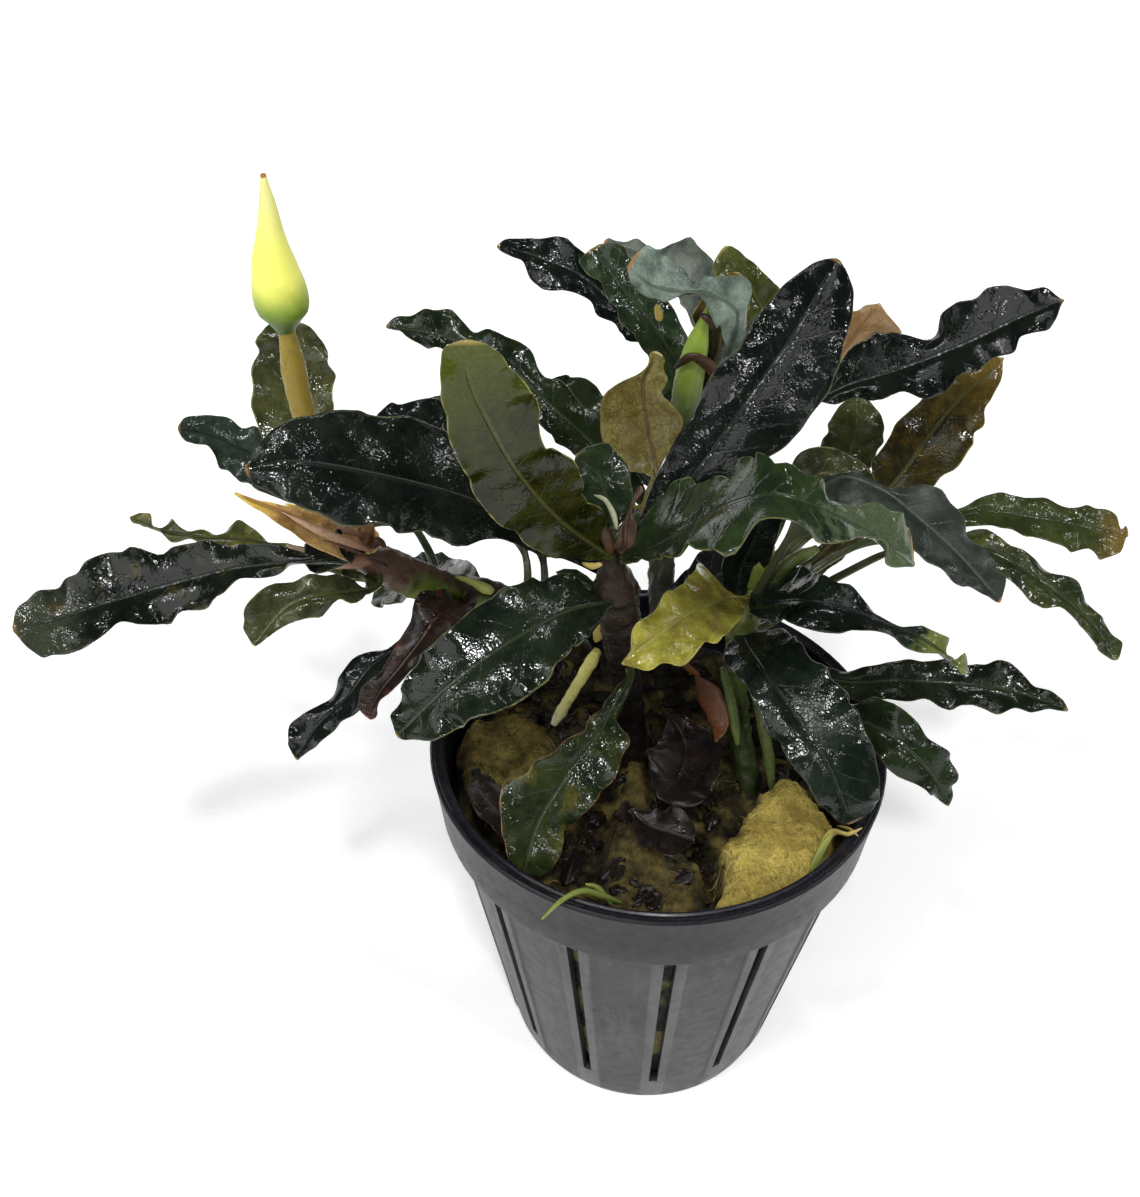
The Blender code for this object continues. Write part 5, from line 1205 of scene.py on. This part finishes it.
def pot_finish():
    """Moulded grey plastic, satin outside, with a painted highlight on the raised strips by the slots and
    painted shade that makes the inside near black.
    """
    graph = Graph("pot_plastic")
    inside, strip, height_in = graph.attribute("pot")[:3]
    place = graph.place()
    cloud = graph.noise(0.10, 4.0, place, 0.6)
    streak = graph.noise(0.45, 3.0, graph.vector("MULTIPLY", place, (1.0, 1.0, 0.12)), 0.6)
    grain = graph.noise(7.0, 3.0, place)
    smear = graph.noise(0.8, 5.0, place, 0.65)
    colour = graph.mix(graph.rise(cloud, 0.35, 0.65), (0.017, 0.018, 0.018), (0.031, 0.032, 0.032))
    colour = graph.mix(graph.rise(streak, 0.52, 0.66, 0.0, 0.6), colour, (0.052, 0.054, 0.053))
    # Painted highlight: the raised strips by the slots are painted paler, as their slopes catch more light.
    strip_highlight = graph.times(strip, graph.rise(streak, 0.3, 0.6, 0.25, 0.85))
    colour = graph.mix(strip_highlight, colour, (0.082, 0.085, 0.083))
    band = graph.rise(height_in, 39.6, 40.2)
    colour = graph.mix(graph.times(band, 0.86), colour, (0.008, 0.009, 0.010))
    colour = graph.mix(graph.rise(smear, 0.60, 0.78, 0.0, 0.5), colour, (0.008, 0.009, 0.009))
    colour = graph.mix(graph.rise(grain, 0.58, 0.72, 0.0, 0.2), colour, (0.07, 0.07, 0.068))
    # Painted shade: the inside and the lip are painted near black with a blue cast, darker than the same
    # plastic outside.
    within = graph.mix(graph.rise(smear, 0.4, 0.7), (0.010, 0.010, 0.015), (0.017, 0.016, 0.020))
    colour = graph.mix(inside, colour, within)
    height = graph.plus(graph.times(grain, 0.3), graph.times(smear, 0.7))
    wet = graph.rise(inside, 0.2, 0.9, 0.0, -0.20)
    roughness = graph.plus(graph.rise(smear, 0.3, 0.75, 0.38, 0.50), wet)
    return graph.finish(colour, roughness, graph.bump(height, 0.05), Specular_IOR_Level=0.28)


def wall_radius(height):
    """The outer radius of the pot's wall at a height below the band."""
    return BASE_RADIUS + (WALL_TOP_RADIUS - BASE_RADIUS) * height / (POT_HEIGHT - BAND_HEIGHT)


def make_pot():
    """The net pot: its outer and inner skins in one grid, open where the slots are."""
    band_foot = POT_HEIGHT - BAND_HEIGHT
    sector = 2 * math.pi / SLOT_COUNT
    half = SLOT_HALF_ANGLE
    strip = 0.045
    step = 0.014
    offsets = [-half, half, half + strip, half + strip + step]
    offsets += [sector * 0.36, sector / 2, sector * 0.64]
    offsets += [sector - half - strip - step, sector - half - strip]
    first = math.radians(FIRST_SLOT_DEGREES)
    angles = []
    for slot in range(SLOT_COUNT):
        angles += [(first + slot * sector + offset, index) for index, offset in enumerate(offsets)]
    heights = [0.0, 0.4, 1.2, 3.0, SLOT_FOOT, SLOT_FOOT + 0.6, 12.0, 20.0, 28.0, 34.0]
    heights += [SLOT_TOP - 0.6, SLOT_TOP, band_foot]
    rows = []
    for height in heights:
        inset = 0.5 if height == 0.0 else 0.12 if height == 0.4 else 0.0
        rows.append((wall_radius(height) - inset, height, 2.0 < height < band_foot, 0.0))
    foot = [(-0.30, 0.0), (-0.06, 0.06), (0.0, 0.3), (0.2, 3.0)]
    rows += [(BAND_FOOT_RADIUS + out, band_foot + up, False, 0.0) for out, up in foot]
    # The lip's top is marked as inside, so that it takes the inside's painted shade.
    lip = [
        (0.08, 7.2, 0.0), (0.0, 7.65, 0.0), (0.10, 7.88, 0.3), (0.24, 7.98, 1.0), (0.42, 7.96, 1.0),
        (0.62, 7.80, 1.0), (1.05, 7.72, 1.0), (1.25, 7.84, 1.0), (1.45, 7.82, 1.0), (1.60, 7.60, 1.0),
        (1.66, 7.0, 1.0), (1.7, 6.0, 1.0),
    ]
    rows += [(RIM_RADIUS - back, band_foot + up, False, inside) for back, up, inside in lip]
    rows += [(22.9, band_foot + 1.0, False, 1.0), (WALL_TOP_RADIUS - WALL, band_foot, False, 1.0)]
    inner_start = len(rows)
    for height in reversed(heights[3:-1]):
        rows.append((wall_radius(height) - WALL, height, False, 1.0))
    rows.append((wall_radius(FLOOR) - WALL, FLOOR, False, 1.0))
    count = len(angles)
    points = []
    pot_at = []
    for row, (radius, height, ribbed, inside) in enumerate(rows):
        for angle, index in angles:
            raised = index in (0, 1, 2, 8)
            grow = 0.22 if ribbed and raised else 0.0
            out = radius + grow
            points.append(Vector((math.cos(angle) * out, math.sin(angle) * out, height)))
            outer_strip = raised and height < band_foot and row < inner_start
            pot_at.append((inside, 1.0 if outer_strip else 0.0, height))
    cut = [index for index, height in enumerate(heights) if SLOT_FOOT <= height < SLOT_TOP]
    mirror = {}
    for offset, height in enumerate(reversed(heights[3:-1])):
        mirror[heights.index(height)] = inner_start + offset
    open_rows = set(cut) | {mirror[index + 1] for index in cut}
    faces = []
    for row in range(len(rows) - 1):
        for column in range(count):
            if angles[column][1] == 0 and row in open_rows:
                continue
            after = (column + 1) % count
            low, high = row * count, (row + 1) * count
            faces.append((low + column, low + after, high + after, high + column))
    for column in range(0, count, len(offsets)):
        after = column + 1
        for row in cut:
            for edge, order in ((column, 1), (after, -1)):
                side = (row * count, (row + 1) * count, mirror[row + 1] * count, mirror[row] * count)
                faces.append(tuple(corner + edge for corner in side)[::order])
        for row, order in ((cut[0], 1), (cut[-1] + 1, -1)):
            outer, inner = row * count, mirror[row] * count
            faces.append((outer + column, inner + column, inner + after, outer + after)[::order])
    faces.append(tuple((len(rows) - 1) * count + column for column in range(count)))
    faces.append(tuple(reversed(range(count))))
    piece = new_mesh("pot_shell", points, faces, {"pot": pot_at})
    piece.data.set_sharp_from_angle(angle=math.radians(32))
    dress(piece, pot_finish(), "pot")


# Parts of the rockwool that stand above the low ground, which is painted near black as brown muck and shade:
# outline as seen, height, ochre share
Plateau = namedtuple("Plateau", "outline height ochre")

PLATEAUS = [
    Plateau([(788, 766), (806, 779), (838, 822), (848, 862), (826, 890), (795, 905), (745, 926), (708, 930),
             (709, 905), (723, 880), (722, 862), (716, 846), (730, 828), (743, 812), (760, 786)], 46.0, 1.0),
    Plateau([(612, 800), (640, 806), (680, 838), (704, 860), (703, 925), (650, 932), (598, 918), (600, 880),
             (606, 834)], 45.3, 0.27),
    Plateau([(440, 740), (470, 715), (530, 700), (560, 740), (548, 770), (530, 790), (500, 812), (470, 800)],
            44.2, 0.43),
    Plateau([(622, 745), (645, 752), (664, 790), (650, 812), (620, 806), (614, 770)], 44.0, 0.36),
    Plateau([(606, 684), (640, 676), (662, 700), (655, 738), (622, 736)], 43.4, 0.34),
]
WOOL_LOW = 41.3
WOOL_REACH = 22.4
THREAD_COUNT = 3000
FLAKE_COUNT = 190


def edge_gap(x, y, outline):
    """How far inside an outline (mm) a point lies; below 0 outside it."""
    nearest = 1e9
    within = False
    for (ax, ay), (bx, by) in zip(outline, outline[1:] + outline[:1]):
        run = (bx - ax, by - ay)
        share = ((x - ax) * run[0] + (y - ay) * run[1]) / (run[0] ** 2 + run[1] ** 2)
        share = min(max(share, 0.0), 1.0)
        nearest = min(nearest, math.hypot(x - ax - share * run[0], y - ay - share * run[1]))
        if (ay > y) != (by > y) and x < ax + run[0] * (y - ay) / run[1]:
            within = not within
    return nearest if within else -nearest


def wool_ground():
    """A function giving the rockwool's height and ochre share over any (x, y) of the pot."""
    patches = []
    for plateau in PLATEAUS:
        outline = [level(px, py, plateau.height) for px, py in plateau.outline]
        patches.append(([(point.x, point.y) for point in outline], plateau.height, plateau.ochre))

    def ground(x, y):
        spot = Vector((x, y, 0.0))
        torn = 0.9 * noise.noise(spot * 0.7 + Vector((0.0, 0.0, 9.0))) + 0.5 * noise.noise(spot * 2.1)
        lumps = 0.9 * noise.noise(spot * 0.33 + Vector((4.0, 0.0, 2.0))) + 0.45 * noise.noise(spot * 1.1)
        fine = 0.16 * noise.noise(spot * 3.7) + 0.09 * noise.noise(spot * 8.0)
        height = WOOL_LOW + 1.2 * lumps + fine
        ochre = 0.10 + 0.45 * max(noise.noise(spot * 0.45 + Vector((8.0, 3.0, 0.0))), 0.0)
        for outline, top, share in patches:
            gap = edge_gap(x, y, outline) + torn * 0.6
            up = float(ramp(gap, -0.35, 0.75))
            up = up * up * (3 - 2 * up)
            crown = top - 1.1 * (1.0 - float(ramp(gap, 0.0, 2.2))) + 0.7 * lumps + 2.0 * fine
            height = max(height, height + (crown - height) * up)
            bare = share * (0.30 + 0.70 * float(ramp(gap, 0.1, 1.5))) * up
            ochre = max(ochre, bare * (0.9 + 0.5 * lumps))
        radius = math.hypot(x, y)
        height -= 1.2 * float(ramp(radius, 21.2, 23.0))
        return height, min(max(ochre, 0.0), 1.0)

    return ground


def rockwool_finish(name="rockwool_fibre", thread=False):
    """Damp mineral fibre: ochre with algae on the torn tops, in streaks and clumps with painted shade in the
    low parts of the relief, and between the tops brown muck darkened with painted shade.
    """
    graph = Graph(name)
    place = graph.place()
    ochre, height_in, out = graph.attribute("wool")[:3]
    broad = graph.noise(0.22, 4.0, place, 0.6)
    clump = graph.noise(1.3, 5.0, place, 0.65)
    hairs = graph.noise(1.6, 5.0, graph.vector("MULTIPLY", place, (2.4, 0.8, 1.4)), 0.74, 1.6)
    colour = graph.mix(graph.rise(broad, 0.35, 0.65), (0.620, 0.455, 0.095), (0.900, 0.720, 0.180))
    # Paler clumps and hairs lie on the high parts of the relief; the darker ones, darker copies of the ochre
    # in its low parts, are painted shade.
    colour = graph.mix(graph.rise(clump, 0.52, 0.72, 0.0, 0.6), colour, (0.82, 0.68, 0.19))
    colour = graph.mix(graph.rise(clump, 0.46, 0.32, 0.0, 0.7), colour, (0.22, 0.150, 0.030))
    colour = graph.mix(graph.rise(hairs, 0.55, 0.68, 0.0, 0.6), colour, (0.88, 0.76, 0.32))
    colour = graph.mix(graph.rise(hairs, 0.42, 0.30, 0.0, 0.5), colour, (0.20, 0.14, 0.03))
    # Between the tops the wool is painted near black: partly brown muck, partly painted shade of the gaps
    # between the chunks.
    muck = graph.mix(graph.rise(clump, 0.4, 0.65), (0.0065, 0.0050, 0.0032), (0.030, 0.020, 0.008))
    level_in = graph.plus(ochre, graph.times(graph.minus(clump, 0.5), 0.35))
    colour = graph.mix(graph.rise(level_in, 0.02, 0.95), muck, colour)
    sunk = graph.rise(height_in, 43.0, 36.0)
    side = graph.mix(graph.rise(hairs, 0.4, 0.6), (0.16, 0.13, 0.035), (0.42, 0.38, 0.14))
    side = graph.mix(graph.rise(graph.noise(0.11, 2.0, place), 0.50, 0.56), (0.012, 0.010, 0.005), side)
    colour = graph.mix(graph.times(sunk, graph.rise(out, 0.88, 0.97)), colour, side)
    height = graph.plus(graph.times(clump, 0.4), graph.times(hairs, 1.3))
    roughness = graph.rise(clump, 0.4, 0.7, 0.35, 0.75)
    normal = graph.bump(height, 0.05 if thread else 0.38)
    return graph.finish(colour, roughness, normal, Subsurface_Weight=0.08, Subsurface_Scale=0.0008)


# The four chunks of rockwool: the bearings (degrees) between which each lies
WOOL_SECTORS = {
    "rockwool_right": (-68.0, 24.0),
    "rockwool_front": (-114.0, -68.0),
    "rockwool_left": (-236.0, -114.0),
    "rockwool_back": (24.0, 124.0),
}


def wool_sector(ground, start, end):
    """A closed wedge of rockwool, torn on top, from the pot's floor up."""
    turns = max(int((end - start) / 0.85), 30)
    outs = 84
    sides = 10
    points, wool_at, faces = [], [], []
    rows = outs + 2 * sides
    ring = rows + 1
    for i in range(turns + 1):
        bearing = math.radians(start + 0.35 + (end - start - 0.7) * i / turns)
        way = Vector((math.cos(bearing), math.sin(bearing), 0.0))
        for j in range(rows + 1):
            if j <= sides:
                out, sink = 0.0, 1.0 - j / sides
            elif j < sides + outs:
                out, sink = ((j - sides) / outs) ** 0.85, 0.0
            else:
                out, sink = 1.0, (j - sides - outs) / sides
            radius = 1.0 + 21.6 * out
            top, ochre = ground(way.x * radius, way.y * radius)
            height = top + (FLOOR + 0.3 - top) * sink
            wall = wall_radius(min(height, POT_HEIGHT - BAND_HEIGHT)) - WALL - 0.2
            radius = min(radius, wall if height < 40.5 else 22.6)
            points.append(way * radius + Vector((0.0, 0.0, height)))
            wool_at.append((ochre, height, out))
    for i in range(turns):
        for j in range(rows):
            low, high = i * ring + j, (i + 1) * ring + j
            faces.append((low, low + 1, high + 1, high))
        start_low, start_high = i * ring, (i + 1) * ring
        faces.append((start_low, start_high, start_high + rows, start_low + rows))
    faces.append(tuple(reversed(range(ring))))
    faces.append(tuple(range(turns * ring, (turns + 1) * ring)))
    return points, faces, wool_at


def wool_threads(ground, count, seed):
    """Fine bent fibres that lie on the torn tops, as closed three-sided threads."""
    rng = random.Random(seed)
    shapes = []
    while len(shapes) < count:
        radius = 22.2 * math.sqrt(rng.random())
        bearing = rng.uniform(0, 2 * math.pi)
        x, y = radius * math.cos(bearing), radius * math.sin(bearing)
        _, ochre = ground(x, y)
        if rng.random() > (ochre - 0.22) * 1.6:
            continue
        heading = rng.gauss(math.radians(-40), 0.9)
        turn = rng.uniform(-0.2, 0.2)
        reach = rng.uniform(0.3, 0.75)
        lift = rng.uniform(0.03, 0.4)
        girth = rng.uniform(0.022, 0.05)
        points = []
        steps = 5
        for step in range(steps):
            along = Vector((math.cos(heading), math.sin(heading), 0.0))
            across = Vector((-along.y, along.x, 0.0))
            hump = math.sin(math.pi * step / (steps - 1)) * lift
            base, _ = ground(x, y)
            centre = Vector((x, y, base + 0.03 + hump * 0.5))
            thin = girth * (0.5 if step in (0, steps - 1) else 1.0)
            for corner in range(3):
                angle = 2 * math.pi * corner / 3
                rise = Vector((0.0, 0.0, thin * math.sin(angle)))
                points.append(centre + across * (thin * math.cos(angle)) + rise)
            x += along.x * reach
            y += along.y * reach
            if math.hypot(x, y) > WOOL_REACH:
                break
            heading += turn
        if len(points) < 9:
            continue
        bright = min(ochre * rng.uniform(0.7, 1.3), 1.0)
        shapes.append((points, loft_faces(len(points) // 3, 3), [(bright, 46.0, 0.0)] * len(points)))
    return shapes


def flake_shape(centre, heading, size, seed):
    """A scrap of rotted leaf: a thin closed blade, bent along and across."""
    rng = random.Random(seed)
    along = Vector((math.cos(heading), math.sin(heading), rng.uniform(-0.35, 0.35))).normalized()
    up = Vector((rng.uniform(-0.5, 0.5), rng.uniform(-0.5, 0.5), 1.0))
    up = (up - along * up.dot(along)).normalized()
    side = along.cross(up)
    rings, around = 14, 12
    bend = rng.uniform(-0.9, 0.9)
    cup = rng.uniform(-1.2, 1.2)
    points, blade_at, reach_at = [], [], []
    for ring in range(rings):
        t = ring / (rings - 1)
        half = size * 0.32 * max(math.sin(math.pi * min(max(t, 0.03), 0.97)), 0.05) ** 0.7
        half *= 1.0 + 0.25 * math.sin(9.0 * t + seed)
        for corner in range(around):
            angle = 2 * math.pi * corner / around
            u = math.cos(angle)
            thick = 0.09 * math.sin(angle)
            rise = cup * u * u * half * 0.5 + bend * math.sin(math.pi * t) * size * 0.2
            rise += 0.12 * math.sin(7 * t * size + 5 * u + seed)
            points.append(centre + along * ((t - 0.5) * size) + side * (u * half) + up * (rise + thick))
            blade_at.append((u, 0.1 + 0.85 * t, 1.0 if thick >= 0 else -1.0))
            reach_at.append((u * half, t * size, seed))
    return points, loft_faces(rings, around), blade_at, reach_at, [(1.0, 1.0, 1.0)] * len(points)


def make_rockwool():
    """Four torn wedges of mineral wool, their loose fibres, and the rotted leaf scraps between."""
    ground = wool_ground()
    material = rockwool_finish()
    for name, (start, end) in WOOL_SECTORS.items():
        points, faces, wool_at = wool_sector(ground, start, end)
        dress(new_mesh(name + "_wool", points, faces, {"wool": wool_at}), material, name)
    threads = joined("rockwool_threads", wool_threads(ground, THREAD_COUNT, 5), "wool")
    dress(threads, rockwool_finish("rockwool_thread", thread=True))
    rng = random.Random(11)
    flakes = []
    while len(flakes) < FLAKE_COUNT:
        radius = 21.4 * math.sqrt(rng.random())
        bearing = rng.uniform(0, 2 * math.pi)
        x, y = radius * math.cos(bearing), radius * math.sin(bearing)
        top, ochre = ground(x, y)
        if ochre > rng.uniform(0.12, 0.32):
            continue
        size = rng.uniform(1.4, 3.6)
        if radius + size * 0.5 > WOOL_REACH:
            continue
        centre = Vector((x, y, top + rng.uniform(0.0, 0.7)))
        flakes.append(flake_shape(centre, rng.uniform(0, 2 * math.pi), size, len(flakes) * 1.7))
    litter = joined("leaf_litter", flakes, "blade", "reach", "tint_and_light")
    dress(litter, leaf_finish("litter", SKINS["muck"]))


# Studio lights: name, place (mm), disc diameter (m), power (W); the small ones give the wet sparkle
LAMPS = [
    ("fill", (-650.0, -600.0, 700.0), 0.9, 4.0),
    ("top", (30.0, -430.0, 860.0), 0.075, 2.7),
    ("top_right", (490.0, -480.0, 860.0), 0.05, 0.9),
    ("front_low", (-200.0, -930.0, 450.0), 0.05, 0.9),
    ("top_left", (-290.0, -340.0, 880.0), 0.05, 0.8),
    ("left", (-640.0, -330.0, 800.0), 0.05, 0.8),
    ("right", (580.0, -80.0, 830.0), 0.05, 0.6),
    ("right_low", (930.0, -190.0, 360.0), 0.05, 0.7),
    ("front_right", (700.0, -560.0, 600.0), 0.05, 0.5),
    ("behind", (60.0, 300.0, 900.0), 0.05, 0.7),
]


# The floor's profile (mm): where it starts, where it turns up behind the plant, and the curve's radius
FLOOR_FRONT = -900.0
FLOOR_BACK = 800.0
CURVE_RADIUS = 260.0


def make_stage():
    """A white floor that curves up behind and glows with painted light, brighter towards the back, a few
    soft lights and the camera.
    """
    graph = Graph("stage_paper")
    place = graph.place()
    tone = graph.noise(0.02, 3.0, place)
    grain = graph.noise(0.8, 3.0, place)
    colour = graph.mix(graph.rise(tone, 0.35, 0.65), (0.88, 0.88, 0.875), (0.92, 0.92, 0.915))
    paper = graph.finish(colour, graph.rise(grain, 0.3, 0.7, 0.7, 0.85), graph.bump(grain, 0.05))
    # The paper glows: painted light, brighter towards the back, that lifts the shadows on the floor and
    # makes up for the lamps' falloff.
    depth = graph.node("ShaderNodeSeparateXYZ")
    graph.put(depth.inputs[0], place)
    painted_light = graph.mix(graph.rise(depth.outputs[1], -100.0, 500.0), (0.30, 0.30, 0.30), (0.70, 0.70, 0.70))
    graph.put(graph.shader.inputs["Emission Color"], painted_light)
    graph.shader.inputs["Emission Strength"].default_value = 1.0
    profile = [(FLOOR_FRONT, 0.0), (FLOOR_BACK, 0.0)]
    for step in range(1, 13):
        angle = math.radians(90 * step / 12)
        profile.append((FLOOR_BACK + CURVE_RADIUS * math.sin(angle), CURVE_RADIUS * (1 - math.cos(angle))))
    points = []
    for y, z in profile:
        points += [Vector((-1500.0, y, z)), Vector((1500.0, y, z))]
    faces = [(2 * i, 2 * i + 1, 2 * i + 3, 2 * i + 2) for i in range(len(profile) - 1)]
    floor = new_mesh("stage_floor", points, faces)
    floor.data.materials.append(paper)
    world = bpy.data.worlds.new("studio")
    bpy.context.scene.world = world
    world.use_nodes = True
    sky = world.node_tree.nodes["Background"]
    sky.inputs["Color"].default_value = (0.97, 0.98, 1.0, 1.0)
    sky.inputs["Strength"].default_value = 0.12
    aim = Vector((0.0, 0.0, 60.0))
    for name, spot, size, power in LAMPS:
        light = bpy.data.lights.new(name, "AREA")
        light.shape = "DISK"
        light.size = size
        light.energy = power
        lamp = bpy.data.objects.new(name, light)
        lamp.location = Vector(spot) * MM
        lamp.rotation_euler = (aim - Vector(spot)).to_track_quat("-Z", "Y").to_euler()
        bpy.context.scene.collection.objects.link(lamp)
    camera = bpy.data.cameras.new("camera")
    camera.sensor_fit = "VERTICAL"
    camera.sensor_height = 36.0
    camera.lens = 36.0
    camera.clip_start = 0.01
    view = bpy.data.objects.new("camera", camera)
    view.location = EYE * MM
    view.rotation_euler = (math.pi / 2 - VIEW_TILT, 0.0, 0.0)
    bpy.context.scene.collection.objects.link(view)
    bpy.context.scene.camera = view
    bpy.context.scene.view_settings.view_transform = "Standard"


make_stage()
make_pot()
make_rockwool()
make_shoots()
make_flowers()
make_twigs()
make_leaves()
